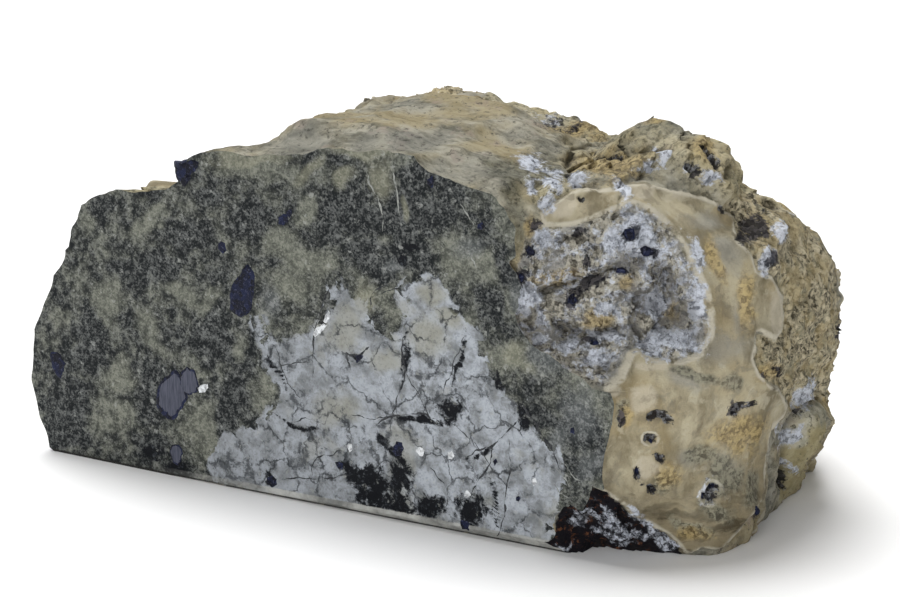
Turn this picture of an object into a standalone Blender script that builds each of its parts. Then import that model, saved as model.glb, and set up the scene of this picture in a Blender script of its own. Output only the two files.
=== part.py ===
# Diogenite meteorite, sawn flat on the face towards the viewer and on the underside it rests on.
# The rough surface is one rule: facets set around a heart point and blended at their edges, with
# ball-shaped scars cut in and knobs standing out, then raised and sunk by named swellings, grooves,
# steps and a scalloped grain. Crystals, pits, the saw cuts and a crack are worked into it last.
# Work coordinates are millimetres from the left end of the edge where the two saw cuts meet:
# x runs right along that edge, y runs back from the tall sawn face, z runs up.

import bmesh
import bpy
import numpy as np
from mathutils import Vector

MM = 0.001

# Driving dimensions
HEART = np.array([72.0, 44.0, 34.0])      # point inside the stone that the facets are set around
BOX_CENTRE = (69.66, 44.86)               # x and y of the middle of the finished stone
BLOCK = (150.0, 92.0, 80.0)               # rough block that is worked into the stone
CELLS = 26                                # divisions along each edge of the block
EDGE_SHARPNESS = 24.0                     # higher leaves the edges between facets crisper
CHAMFER_START = 30.0                      # x where the worn strip under the tall face begins
CHAMFER_END = 118.0                       # x where the strip is widest
CHAMFER_WIDTH = 2.2                       # width of the strip at its widest
SAW_BLOCK = 400.0                         # size of the blocks that stand for the saw cuts
LEAST_SLANT = 0.45                        # keeps the relief low where a ray grazes the surface

# Each facet: name, compass direction it faces (0 front, 90 right, 180 back), lean up, distance
FACETS = (
    ("top front", 332, 77, 44.0),
    ("top left", 255, 71, 38.0),
    ("top back", 170, 72, 38.2),
    ("top right", 62, 73, 45.3),
    ("shoulder", 92, 48, 66.5),
    ("crest right", 100, 24, 78.0),
    ("far right", 95, 4, 77.5),
    ("right low", 95, -13, 74.0),
    ("right foot", 92, -27, 79.0),
    ("end crust", 52, -2, 71.5),
    ("end high", 38, 34, 64.0),
    ("end low", 50, -12, 79.5),
    ("broken corner", 33, -20, 71.5),
    ("back right", 138, 5, 60.0),
    ("back right top", 150, 48, 42.5),
    ("back", 182, 4, 43.5),
    ("back high", 178, 44, 42.0),
    ("back low", 175, -30, 47.0),
    ("back left", 228, 8, 58.0),
    ("back left top", 225, 42, 46.0),
    ("left high", 285, 22.5, 73.0),
    ("left low", 275, -12, 81.4),
)

# Each scar where a chip came away: name, its deepest point, direction and lean it faces, radius
SCARS = (
    ("pocket", (120.8, 9.3, 50.5), 29, 9, 32.0),
    ("broken corner", (121.5, 5.5, 3.0), 28, -16, 16.0),
    ("behind the shoulder", (140, 44, 60), 112, 44, 30.0),
    ("back right scar", (118, 72, 48), 150, 26, 46.0),
    ("back middle scar", (76, 84, 30), 184, -4, 60.0),
    ("back foot scar", (104, 80, 10), 165, -22, 34.0),
    ("back left scar", (32, 72, 40), 216, 18, 44.0),
    ("left end scar", (-1, 40, 40), 276, 14, 40.0),
    ("left foot scar", (1, 56, 10), 258, -16, 30.0),
    ("back ridge scar", (62, 66, 66), 190, 52, 38.0),
)

# Each rounded knob that stands out of the hull: name, centre, radius
KNOBS = (
    ("left crest knob", (117.0, 35, 63.5), 11.0),
    ("notch side knob", (112.5, 37, 63.0), 8.0),
    ("right crest knob", (125.0, 32.5, 62), 10.8),
    ("small crest knob", (129.5, 31, 58.6), 8.5),
    ("tan bulge", (116.0, 23, 53.0), 16.5),
    ("lobe", (136.0, 49, 16.0), 10.5),
    ("foot knob", (130.0, 24, 6.0), 14.0),
    ("back knob", (46, 70, 42), 16.0),
    ("low back knob", (86, 72, 16), 15.5),
    ("left knob", (14, 28, 20), 17.5),
)

# Lumps that stand on the floor of the pocket: centre, radius
POCKET_LUMPS = (
    ((110.5, 10.5, 54.5), 7.0),
    ((118.0, 13.0, 52.0), 6.5),
    ((124.5, 17.5, 57.0), 6.5),
    ((126.0, 16.0, 50.5), 7.0),
    ((117.5, 12.0, 45.0), 7.5),
    ((126.5, 14.5, 43.0), 6.5),
    ((110.5, 9.0, 46.0), 7.5),
)

# Each gentle swelling or dip: name, centre, radius, height
LUMPS = (
    ("dome of the top", (58, 22, 71), 26, 2.4),
    ("level of the top", (78, 34, 76), 18, -1.8),
    ("dip behind the dome", (90, 58, 68), 24, -3.2),
    ("saddle before the knobs", (102, 44, 67), 22, -6.5),
    ("granular hollow", (149, 34, 42), 12, -1.6),
    ("dark patch above the crust", (140, 29, 59), 7, -1.6),
    ("crust blister", (137, 13, 30), 12, 1.2),
    ("lip above the pocket", (121, 10, 63), 7, 1.2),
    ("lip right of the pocket", (138, 15, 50), 7, 1.0),
)

# Each crack: name, points along it, half width, depth
GROOVES = (
    ("crack behind the lobe", ((147, 60, 22), (147, 44, 21), (145, 37, 14), (142, 36, 6)), 2.6, 2.6),
    ("slit in the crest", ((131, 24, 71), (136, 28, 67)), 1.8, 1.6),
)

# Open crack in the tall sawn face: points along it as x and z, width, depth
FACE_CRACK = ((110.5, 25.6), (111.8, 22.6), (114.6, 19.0), (118.4, 12.2), (119.9, 10.1))
FACE_CRACK_WIDTH = 0.7
FACE_CRACK_DEPTH = 2.0

# Each step in the top: name, a point on it, direction its low side faces, drop, width, reach
STEPS = (
    ("left step", (36, 0, 62), 262, 5.2, 8.0, 46.0),
    ("top ledge", (50, 26, 69), 276, 3.4, 12.0, 26.0),
)
STEP_RAGGED = 2.2                         # how far a step wanders
STEP_WANDER = (12.0, 13)                  # length of its wandering, seed

# Scalloped break of the surface: size of the scallops, height of their sharp rims, seed
SCALLOPS = (
    (23.0, 2.6, 5),
    (10.5, 1.4, 6),
)
SCALLOP_LEVEL = 0.3                       # part of the rims' height that stands over the hull

# Smooth grain of the surface: size of the grain, height, seed
GRAIN = (
    (8.5, 0.5, 2),
    (4.5, 0.35, 3),
)

# Smooth crust over the right end, where the break shows less: centre, radius
CRUST = ((138, 14, 28), 30.0)
CRUST_SMOOTHING = 0.6

# Places whose grid is divided once more for their finer forms: centre, radius
FINE_PLACES = (
    ((124, 9, 50), 22.0),
    ((123, 32, 68), 16.0),
    ((145, 46, 17), 13.0),
    ((126, 4, 6), 12.0),
    ((36, 6, 61), 9.0),
)

# Rounded pits in the crust: name, centre, radii along, up and in
PITS = (
    ("half moon pit", (134, 7, 27), (2.8, 1.5, 1.6)),
    ("ring pit", (132.5, 6, 22.5), (1.5, 1.5, 1.6)),
    ("oval pit", (139, 17.5, 11.5), (1.9, 2.3, 1.9)),
    ("pit cluster", (133, 8, 15.5), (1.8, 1.2, 1.5)),
)

# Dark crystals that stand out of the stone: name, centre, radii
CRYSTALS = (
    ("step crystal", (36.5, 2.0, 61.6), (2.9, 2.6, 2.7)),
    ("pocket crystal", (124.5, 12.0, 57.5), (1.9, 1.7, 2.2)),
    ("small pocket crystal", (128.5, 13.0, 54.5), (1.4, 1.3, 1.5)),
    ("low pocket crystal", (116.5, 6.0, 47.0), (1.6, 1.6, 1.6)),
)
CRYSTAL_TURN = 35.0                       # degrees that each crystal is turned past the last
PIT_TURN = 52.0                           # compass direction that the pits face

STONE_COLOUR = (0.235, 0.222, 0.165, 1.0)
STONE_ROUGHNESS = 0.72


def compass(azimuth, lean=0.0):
    """Unit vector that faces azimuth degrees round from the front and leans up."""
    turn = np.radians(azimuth)
    rise = np.radians(lean)
    return np.array([np.sin(turn) * np.cos(rise), -np.cos(turn) * np.cos(rise), np.sin(rise)])


def faceted_hull(directions):
    """Radius and normal of the blended facets along each direction from the heart."""
    normals = np.array([compass(azimuth, lean) for _, azimuth, lean, _ in FACETS])
    distances = np.array([facet[3] for facet in FACETS])
    reach = np.maximum(directions @ normals.T, 0.0) / distances
    radius = (reach ** EDGE_SHARPNESS).sum(axis=1) ** (-1.0 / EDGE_SHARPNESS)
    blended = (reach ** (EDGE_SHARPNESS - 1.0) / distances) @ normals
    return radius, blended / np.linalg.norm(blended, axis=1, keepdims=True)


def scarred(directions, radius, normals):
    """Cut each ball-shaped scar into the hull: the ray stops where it enters the ball."""
    for _, deepest, azimuth, lean, ball in SCARS:
        facing = compass(azimuth, lean)
        centre = np.array(deepest, float) + facing * ball - HEART
        ahead = directions @ centre
        inside = ahead ** 2 - centre @ centre + ball ** 2
        meets = (inside > 0.0) & (ahead > 0.0)
        entry = np.where(meets, ahead - np.sqrt(np.maximum(inside, 0.0)), np.inf)
        cut = entry < radius
        radius = np.where(cut, entry, radius)
        scar_normal = (centre - directions * radius[:, None]) / ball
        normals = np.where(cut[:, None], scar_normal, normals)
    return radius, normals


def knobbed(directions, radius, normals):
    """Let each ball stand out of the hull: the ray goes on to where it leaves the ball."""
    balls = [(centre, ball) for _, centre, ball in KNOBS]
    for middle, ball in balls + list(POCKET_LUMPS):
        centre = np.array(middle, float) - HEART
        ahead = directions @ centre
        inside = ahead ** 2 - centre @ centre + ball ** 2
        meets = (inside > 0.0) & (ahead > 0.0)
        leaving = np.where(meets, ahead + np.sqrt(np.maximum(inside, 0.0)), 0.0)
        stands_out = leaving > radius
        radius = np.where(stands_out, leaving, radius)
        ball_normal = (directions * radius[:, None] - centre) / ball
        normals = np.where(stands_out[:, None], ball_normal, normals)
    return radius, normals


def corner_value(cell, seed):
    """Fixed random height between -1 and 1 for each corner of a lattice."""
    mixed = cell[..., 0] * 374761393 + cell[..., 1] * 668265263 + cell[..., 2] * 1274126177
    mixed = (mixed + seed * 974711) & 0x7FFFFFFF
    mixed = ((mixed ^ (mixed >> 13)) * 1274126177) & 0x7FFFFFFF
    mixed = ((mixed ^ (mixed >> 16)) * 668265263) & 0x7FFFFFFF
    return (mixed & 0xFFFF) / 32767.5 - 1.0


def rough(points, size, seed):
    """Smooth random heights whose hills are about one size across."""
    scaled = points / size
    cell = np.floor(scaled).astype(np.int64)
    part = scaled - cell
    part = part ** 3 * (part * (part * 6.0 - 15.0) + 10.0)
    total = np.zeros(len(points))
    for corner in np.ndindex(2, 2, 2):
        step = np.array(corner)
        weight = np.where(step == 1, part, 1.0 - part).prod(axis=1)
        total += weight * corner_value(cell + step, seed)
    return total


def smooth_step(value):
    """Rise from 0 to 1 with level ends."""
    value = np.clip(value, 0.0, 1.0)
    return value * value * (3.0 - 2.0 * value)


def swelling(points, centre, radius):
    """Round hill of height 1 that ends at the radius."""
    distance = np.linalg.norm(points - np.array(centre, float), axis=1) / radius
    return np.maximum(1.0 - distance ** 2, 0.0) ** 2


def groove_depth(points, path, half_width):
    """V-shaped groove of depth 1 along a line of points."""
    nearest = np.full(len(points), np.inf)
    for start, end in zip(path[:-1], path[1:]):
        start = np.array(start, float)
        run = np.array(end, float) - start
        share = np.clip((points - start) @ run / (run @ run), 0.0, 1.0)
        gap = np.linalg.norm(points - start - share[:, None] * run, axis=1)
        nearest = np.minimum(nearest, gap)
    return np.maximum(1.0 - nearest / half_width, 0.0)


def step_depth(points, foot, azimuth, width, reach):
    """Ragged step of depth 1 across the top that fades out with distance from its foot."""
    offset = points - np.array(foot, float)
    ahead = offset @ compass(azimuth) + STEP_RAGGED * rough(points, *STEP_WANDER)
    along = offset @ compass(azimuth + 90.0)
    fade = smooth_step(2.0 - 2.0 * np.abs(along) / reach)
    return fade * smooth_step(ahead / width + 0.5)


def relief(points, normals):
    """Height of the rough surface over the scarred hull, measured along the normal."""
    height = np.zeros(len(points))
    for _, centre, radius, rise in LUMPS:
        height += rise * swelling(points, centre, radius)
    for _, path, half_width, depth in GROOVES:
        height -= depth * groove_depth(points, path, half_width)
    level = np.clip(normals[:, 2] * 2.0 - 0.7, 0.0, 1.0)
    for _, foot, azimuth, drop, width, reach in STEPS:
        height -= drop * level * step_depth(points, foot, azimuth, width, reach)
    broken = np.zeros(len(points))
    for size, rise, seed in SCALLOPS:
        broken += rise * (SCALLOP_LEVEL - np.abs(rough(points, size, seed)))
    for size, rise, seed in GRAIN:
        broken += rise * rough(points, size, seed)
    crust_centre, crust_radius = CRUST
    return height + broken * (1.0 - CRUST_SMOOTHING * swelling(points, crust_centre, crust_radius))


def to_surface(points):
    """Carry each point along its ray from the heart to the surface of the stone."""
    directions = points - HEART
    directions /= np.linalg.norm(directions, axis=1, keepdims=True)
    radius, normals = knobbed(directions, *scarred(directions, *faceted_hull(directions)))
    hull = HEART + directions * radius[:, None]
    slant = np.maximum((normals * directions).sum(axis=1), LEAST_SLANT)
    return hull + directions * (relief(hull, normals) / slant)[:, None]


def to_world(points):
    """Work millimetres to metres around the middle of the stone."""
    return (points - np.array([*BOX_CENTRE, 0.0])) * MM


def carried(vertices):
    """Surface points that the vertices of the unit block are carried to."""
    grid = np.array([vertex.co for vertex in vertices])
    return to_surface(HEART + grid * np.array(BLOCK))


def divide_fine_places(bm):
    """Divide the grid once more wherever a fine form will stand."""
    places = carried(bm.verts)
    fine = np.zeros(len(places), bool)
    for centre, radius in FINE_PLACES:
        fine |= np.linalg.norm(places - np.array(centre, float), axis=1) < radius
    edges = [edge for edge in bm.edges if all(fine[vertex.index] for vertex in edge.verts)]
    bmesh.ops.subdivide_edges(bm, edges=edges, cuts=1, use_grid_fill=True)


def rough_stone(collection):
    """Subdivided block whose points are carried out to the rough surface."""
    bm = bmesh.new()
    bmesh.ops.create_cube(bm, size=1.0)
    bmesh.ops.subdivide_edges(bm, edges=bm.edges[:], cuts=CELLS - 1, use_grid_fill=True)
    divide_fine_places(bm)
    for vertex, place in zip(bm.verts, to_world(carried(bm.verts))):
        vertex.co = place
    bmesh.ops.recalc_face_normals(bm, faces=bm.faces)
    mesh = bpy.data.meshes.new("stone")
    bm.to_mesh(mesh)
    bm.free()
    stone = bpy.data.objects.new("stone", mesh)
    collection.objects.link(stone)
    return stone


def helper(name, bm, collection):
    """Object that only cuts or joins, shown as wires."""
    mesh = bpy.data.meshes.new(name)
    bm.to_mesh(mesh)
    bm.free()
    tool = bpy.data.objects.new(name, mesh)
    tool.display_type = "WIRE"
    tool.hide_render = True
    collection.objects.link(tool)
    return tool


def crystal(name, centre, radii, turn, collection):
    """Flat-faced crystal standing in the stone's surface."""
    bm = bmesh.new()
    bmesh.ops.create_icosphere(bm, subdivisions=1, radius=1.0)
    tool = helper(name, bm, collection)
    tool.location = to_world(to_surface(np.array([centre], float))[0])
    tool.scale = np.array(radii) * MM
    tool.rotation_euler = (np.radians(turn * 0.6), np.radians(turn * 0.3), np.radians(turn))
    return tool


def pit(name, centre, radii, collection):
    """Round-bottomed pit turned to face out of the stone's right end."""
    bm = bmesh.new()
    bmesh.ops.create_icosphere(bm, subdivisions=2, radius=1.0)
    tool = helper(name, bm, collection)
    along, up, inward = radii
    tool.location = to_world(to_surface(np.array([centre], float))[0])
    tool.scale = np.array([along, inward, up]) * MM
    tool.rotation_euler = (0.0, 0.0, np.radians(PIT_TURN))
    return tool


def crack_blade(name, start, end, collection):
    """Thin block that opens one stretch of the crack in the tall sawn face."""
    bm = bmesh.new()
    bmesh.ops.create_cube(bm, size=1.0)
    tool = helper(name, bm, collection)
    run = np.array(end) - np.array(start)
    middle = (np.array(start) + np.array(end)) / 2.0
    length = np.hypot(*run) + FACE_CRACK_WIDTH
    tool.location = to_world(np.array([middle[0], 0.0, middle[1]]))
    tool.scale = np.array([length, 2.0 * FACE_CRACK_DEPTH, FACE_CRACK_WIDTH]) * MM
    tool.rotation_euler = (0.0, -np.arctan2(run[1], run[0]), 0.0)
    return tool


def saw_cut(name, point, normal, collection):
    """Block whose near side is the plane of a saw cut; the normal faces away from the stone."""
    bm = bmesh.new()
    bmesh.ops.create_cube(bm, size=SAW_BLOCK * MM)
    tool = helper(name, bm, collection)
    outward = np.array(normal, float)
    outward /= np.linalg.norm(outward)
    middle = np.array(point, float) + outward * SAW_BLOCK / 2.0
    tool.location = to_world(middle)
    tool.rotation_mode = "QUATERNION"
    tool.rotation_quaternion = Vector((0.0, 1.0, 0.0)).rotation_difference(Vector(outward))
    return tool


def worked(stone, tool, operation):
    """Join the tool to the stone or cut it away."""
    step = stone.modifiers.new(tool.name, "BOOLEAN")
    step.operation = operation
    step.solver = "EXACT"
    step.object = tool


def stone_material():
    """Greenish grey rock with a dull sawn polish."""
    material = bpy.data.materials.new("diogenite")
    material.use_nodes = True
    shader = material.node_tree.nodes["Principled BSDF"]
    shader.inputs["Base Color"].default_value = STONE_COLOUR
    shader.inputs["Roughness"].default_value = STONE_ROUGHNESS
    shader.inputs["Metallic"].default_value = 0.0
    return material


def build():
    for item in list(bpy.data.objects):
        bpy.data.objects.remove(item, do_unlink=True)
    parts = bpy.data.collections.new("diogenite_meteorite")
    helpers = bpy.data.collections.new("saws_and_crystals")
    bpy.context.scene.collection.children.link(parts)
    bpy.context.scene.collection.children.link(helpers)

    stone = rough_stone(parts)
    stone.data.materials.append(stone_material())

    for order, (name, centre, radii) in enumerate(CRYSTALS):
        grain = crystal(name, centre, radii, CRYSTAL_TURN * (order + 1), helpers)
        worked(stone, grain, "UNION")
    for name, centre, radii in PITS:
        worked(stone, pit(name, centre, radii, helpers), "DIFFERENCE")

    slope = CHAMFER_WIDTH / (CHAMFER_END - CHAMFER_START)
    cuts = (
        ("face_saw", (0, 0, 0), (0, -1, 0)),
        ("base_saw", (0, 0, 0), (0, 0, -1)),
        ("worn_edge", (CHAMFER_START, 0, 0), (slope, -1, -1)),
    )
    for name, point, normal in cuts:
        worked(stone, saw_cut(name, point, normal, helpers), "DIFFERENCE")
    for order, (start, end) in enumerate(zip(FACE_CRACK[:-1], FACE_CRACK[1:])):
        blade = crack_blade(f"crack_{order + 1}", start, end, helpers)
        worked(stone, blade, "DIFFERENCE")


build()
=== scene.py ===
import bpy
import numpy as np
from mathutils import Matrix


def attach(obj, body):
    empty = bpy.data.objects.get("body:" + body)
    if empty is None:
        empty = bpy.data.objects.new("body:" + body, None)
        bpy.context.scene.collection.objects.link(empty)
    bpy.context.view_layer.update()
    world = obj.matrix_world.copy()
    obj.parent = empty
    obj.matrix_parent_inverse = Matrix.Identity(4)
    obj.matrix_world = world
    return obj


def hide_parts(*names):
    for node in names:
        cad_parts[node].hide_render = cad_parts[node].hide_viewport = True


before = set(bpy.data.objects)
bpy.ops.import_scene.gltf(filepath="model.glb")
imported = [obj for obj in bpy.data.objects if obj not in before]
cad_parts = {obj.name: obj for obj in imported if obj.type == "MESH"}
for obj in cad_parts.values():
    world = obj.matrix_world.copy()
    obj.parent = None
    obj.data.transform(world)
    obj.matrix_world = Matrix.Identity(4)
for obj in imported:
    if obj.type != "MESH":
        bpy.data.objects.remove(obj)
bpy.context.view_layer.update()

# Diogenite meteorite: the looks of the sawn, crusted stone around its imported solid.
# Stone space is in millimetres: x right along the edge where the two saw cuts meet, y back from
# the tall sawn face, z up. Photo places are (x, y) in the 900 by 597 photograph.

mm = 0.001
boxCentre = np.array([69.66, 44.86, 0.0])      # stone-space place of the object's origin

# The view

photoView = {
    "azimuth": 31.892,                          # degrees round from the front towards the right end
    "lean": 15.0,                               # degrees that the camera looks down
    "distance": 600.0,
    "target": (65.249, 47.166, 30.0),           # stone space
    "lens": 120.0,
    "sensor": 36.0,
    "width": 900,
    "height": 597,
}


def compass(azimuth, lean=0.0):
    # unit vector: (sin a cos l, -cos a cos l, sin l) for azimuth a from the front and lean l
    turn, tilt = np.radians(azimuth), np.radians(lean)
    return np.array([np.sin(turn) * np.cos(tilt), -np.cos(turn) * np.cos(tilt), np.sin(tilt)])


viewBack = compass(photoView["azimuth"], photoView["lean"])
viewRight = compass(photoView["azimuth"] + 90.0)
viewUp = np.cross(viewBack, viewRight)
viewPlace = np.array(photoView["target"]) + viewBack * photoView["distance"]
viewFocal = photoView["lens"] / photoView["sensor"] * photoView["width"]


def photoPlace(points):
    # pinhole picture of stone-space points: middle plus focal length times sideways over depth
    offset = points - viewPlace
    depth = -(offset @ viewBack)
    across = photoView["width"] / 2 + viewFocal * (offset @ viewRight) / depth
    down = photoView["height"] / 2 - viewFocal * (offset @ viewUp) / depth
    return np.stack([across, down], axis=-1)


def onFace(places):
    # photo places carried along their sight lines to the tall sawn face, y = 0
    places = np.atleast_2d(np.array(places, float))
    sight = (
        (places[:, :1] - photoView["width"] / 2) / viewFocal * viewRight
        - (places[:, 1:] - photoView["height"] / 2) / viewFocal * viewUp
        - viewBack
    )
    reach = -viewPlace[1] / sight[:, 1]
    return viewPlace + sight * reach[:, None]


def toWorld(points):
    # stone-space millimetres to metres round the object's origin
    return (points - boxCentre) * mm


# Noise in stone space

noiseLayer = 0.55                               # height of each layer of hills to the one before
pebbleStray = 0.45                              # how far pebbles lie from their cells' middles


def cornerValue(cell, seed):
    # fixed random value from -1 to 1 for each lattice corner, by mixing its whole numbers
    mixed = cell[..., 0] * 374761393 + cell[..., 1] * 668265263 + cell[..., 2] * 1274126177
    mixed = (mixed + seed * 974711) & 0x7FFFFFFF
    mixed = ((mixed ^ (mixed >> 13)) * 1274126177) & 0x7FFFFFFF
    mixed = ((mixed ^ (mixed >> 16)) * 668265263) & 0x7FFFFFFF
    return (mixed & 0xFFFF) / 32767.5 - 1.0


def hills(points, size, seed):
    # smooth noise from -1 to 1: corner values blended across each lattice cell of the given size
    scaled = points / size
    cell = np.floor(scaled).astype(np.int64)
    part = scaled - cell
    part = part ** 3 * (part * (part * 6.0 - 15.0) + 10.0)
    total = np.zeros(points.shape[:-1])
    for corner in np.ndindex(2, 2, 2):
        step = np.array(corner)
        weight = np.where(step == 1, part, 1.0 - part).prod(axis=-1)
        total += weight * cornerValue(cell + step, seed)
    return total


def layeredHills(points, size, seed, layers=3):
    # sum of hills, each layer half the size and a little over half the height of the last
    total = np.zeros(points.shape[:-1])
    for layer in range(layers):
        total += noiseLayer ** layer * hills(points, size / 2 ** layer, seed + layer)
    return total


def pebbles(points, size, seed):
    # distance to the nearest scattered centre, in cells of the given size
    scaled = points / size
    cell = np.floor(scaled).astype(np.int64)
    nearest = np.full(points.shape[:-1], 9.0)
    for corner in np.ndindex(3, 3, 3):
        near = cell + np.array(corner) - 1
        stray = np.stack([cornerValue(near, seed + axis) for axis in range(3)], axis=-1)
        centre = near + 0.5 + pebbleStray * stray
        nearest = np.minimum(nearest, np.linalg.norm(centre - scaled, axis=-1))
    return nearest


def smoothRise(value, low=0.0, high=1.0):
    # 0 below low, 1 above high, an S curve between
    value = np.clip((value - low) / (high - low), 0.0, 1.0)
    return value * value * (3.0 - 2.0 * value)


# Marks read from the photograph, in photo places

outlineSlope = 0.2                              # rise of an outline's field for each photo pixel


def blobs(places, marks):
    # highest of the ovals (x, y, half width, half height, turn): 1 in the middle, 0 on the rim
    best = np.full(len(places), -9.0)
    for x, y, halfWide, halfHigh, turn in marks:
        spin = np.radians(turn)
        dx, dy = places[:, 0] - x, places[:, 1] - y
        along = (dx * np.cos(spin) + dy * np.sin(spin)) / halfWide
        over = (-dx * np.sin(spin) + dy * np.cos(spin)) / halfHigh
        best = np.maximum(best, 1.0 - np.hypot(along, over))
    return best


def nearPath(places, path):
    # distance to an open path
    nearest = np.full(len(places), np.inf)
    for start, end in zip(np.array(path[:-1], float), np.array(path[1:], float)):
        run = end - start
        share = np.clip((places - start) @ run / (run @ run), 0.0, 1.0)
        nearest = np.minimum(nearest, np.linalg.norm(places - start - share[:, None] * run, axis=1))
    return nearest


def insideOutline(places, outline):
    # distance to the closed outline in photo pixels, above zero inside it
    corners = np.array([*outline, outline[0]], float)
    nearest = nearPath(places, corners)
    inside = np.zeros(len(places), bool)
    for start, end in zip(corners[:-1], corners[1:]):
        run = end - start
        spans = (start[1] > places[:, 1]) != (end[1] > places[:, 1])
        drop = 1e-9 if abs(run[1]) < 1e-9 else run[1]
        inside ^= spans & (places[:, 0] < start[0] + (places[:, 1] - start[1]) / drop * run[0])
    return np.where(inside, nearest, -nearest)


def markField(places, strayed, marks):
    # an outline's distance, scaled, above zero inside it; or the ovals' height, at least minus one
    if len(marks[0]) == 2:
        return outlineSlope * insideOutline(places, marks)
    return np.maximum(blobs(strayed, marks), -1.0)


def wandering(points):
    # photo places that stray by a few pixels, so that ovals turn into natural patches
    stray = [5.0 * hills(points, 5.5, seed) + 2.5 * hills(points, 2.4, seed + 1) for seed in (11, 15)]
    return photoPlace(points) + np.stack(stray, axis=-1)


# The stone's form: the same facets, scars, knobs and swellings as its solid; only the left step
# is wider here and starts further left

stoneForm = {
    "heart": (72.0, 44.0, 34.0),
    "edgeSharpness": 24.0,
    "fillet": 1.2,                              # rounding where scars and knobs meet the facets
    "leastSlant": 0.45,
    "facets": {                                 # direction faced, lean, distance from the heart
        "topFront": (332, 77, 44.0),
        "topLeft": (255, 71, 38.0),
        "topBack": (170, 72, 38.2),
        "topRight": (62, 73, 45.3),
        "shoulder": (92, 48, 66.5),
        "crestRight": (100, 24, 78.0),
        "farRight": (95, 4, 77.5),
        "rightLow": (95, -13, 74.0),
        "rightFoot": (92, -27, 79.0),
        "endCrust": (52, -2, 71.5),
        "endHigh": (38, 34, 64.0),
        "endLow": (50, -12, 79.5),
        "brokenCorner": (33, -20, 71.5),
        "backRight": (138, 5, 60.0),
        "backRightTop": (150, 48, 42.5),
        "back": (182, 4, 43.5),
        "backHigh": (178, 44, 42.0),
        "backLow": (175, -30, 47.0),
        "backLeft": (228, 8, 58.0),
        "backLeftTop": (225, 42, 46.0),
        "leftHigh": (285, 22.5, 73.0),
        "leftLow": (275, -12, 81.4),
    },
    "scars": {                                  # deepest point, direction faced, lean, ball radius
        "pocket": ((120.8, 9.3, 50.5), 29, 9, 32.0),
        "brokenCorner": ((121.5, 5.5, 3.0), 28, -16, 16.0),
        "behindShoulder": ((140, 44, 60), 112, 44, 30.0),
        "backRight": ((118, 72, 48), 150, 26, 46.0),
        "backMiddle": ((76, 84, 30), 184, -4, 60.0),
        "backFoot": ((104, 80, 10), 165, -22, 34.0),
        "backLeft": ((32, 72, 40), 216, 18, 44.0),
        "leftEnd": ((-1, 40, 40), 276, 14, 40.0),
        "leftFoot": ((1, 56, 10), 258, -16, 30.0),
        "backRidge": ((62, 66, 66), 190, 52, 38.0),
    },
    "knobs": {                                  # centre, radius
        "leftCrest": ((117.0, 35, 63.5), 11.0),
        "notchSide": ((112.5, 37, 63.0), 8.0),
        "rightCrest": ((125.0, 32.5, 62), 10.8),
        "smallCrest": ((129.5, 31, 58.6), 8.5),
        "tanBulge": ((116.0, 23, 53.0), 16.5),
        "lobe": ((136.0, 49, 16.0), 10.5),
        "foot": ((130.0, 24, 6.0), 14.0),
        "back": ((46, 70, 42), 16.0),
        "lowBack": ((86, 72, 16), 15.5),
        "left": ((14, 28, 20), 17.5),
        "pocketA": ((110.5, 10.5, 54.5), 7.0),
        "pocketB": ((118.0, 13.0, 52.0), 6.5),
        "pocketC": ((124.5, 17.5, 57.0), 6.5),
        "pocketD": ((126.0, 16.0, 50.5), 7.0),
        "pocketE": ((117.5, 12.0, 45.0), 7.5),
        "pocketF": ((126.5, 14.5, 43.0), 6.5),
        "pocketG": ((110.5, 9.0, 46.0), 7.5),
    },
    "swellings": {                              # centre, radius, height
        "domeOfTop": ((58, 22, 71), 26, 2.4),
        "levelOfTop": ((78, 34, 76), 18, -1.8),
        "dipBehindDome": ((90, 58, 68), 24, -3.2),
        "saddleBeforeKnobs": ((102, 44, 67), 22, -6.5),
        "granularHollow": ((149, 34, 42), 12, -1.6),
        "darkPatch": ((140, 29, 59), 7, -1.6),
        "crustBlister": ((137, 13, 30), 12, 1.2),
        "lipAbovePocket": ((121, 10, 63), 7, 1.2),
        "lipRightOfPocket": ((138, 15, 50), 7, 1.0),
    },
    "grooves": {                                # path, half width, depth
        "behindLobe": (((147, 60, 22), (147, 44, 21), (145, 37, 14), (142, 36, 6)), 2.6, 2.6),
        "crestSlit": (((131, 24, 71), (136, 28, 67)), 1.8, 1.6),
    },
    "steps": {                                  # foot, direction of the low side, drop, width, reach
        "leftStep": ((32, 0, 62), 262, 5.2, 14.0, 46.0),
        "topLedge": ((50, 26, 69), 276, 3.4, 12.0, 26.0),
    },
    "stepRagged": 2.2,
    "scallops": ((23.0, 2.6, 5), (10.5, 1.4, 6)),   # size, height, seed
    "grain": ((8.5, 0.5, 2), (4.5, 0.35, 3)),
    "crust": ((138, 14, 28), 30.0, 0.6),        # centre, radius and strength of its smoothing
    "chamfer": (30.0, 118.0, 2.2),              # worn strip under the face: start, end, width there
}
heart = np.array(stoneForm["heart"])
stripStart, stripEnd, stripWidth = stoneForm["chamfer"]
sawnCuts = {                                    # a point on each saw cut, and the way it faces
    "face": ((0.0, 0.0, 0.0), (0.0, -1.0, 0.0)),
    "strip": ((stripStart, 0.0, 0.0), (stripWidth / (stripEnd - stripStart), -1.0, -1.0)),
    "underside": ((0.0, 0.0, 0.0), (0.0, 0.0, -1.0)),
}


def softLeast(first, second, width):
    # lesser of two lengths, rounded off where they are within the width of each other
    share = np.clip(0.5 + 0.5 * (second - first) / width, 0.0, 1.0)
    return second + (first - second) * share - width * share * (1.0 - share)


def throughBall(directions, centre, ball):
    # along each ray, how far it runs to the middle of its way through a ball, half that way's
    # length, and whether it meets the ball ahead
    ahead = directions @ centre
    inside = ahead ** 2 - centre @ centre + ball ** 2
    return ahead, np.sqrt(np.maximum(inside, 0)), (inside > 0) & (ahead > 0)


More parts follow.
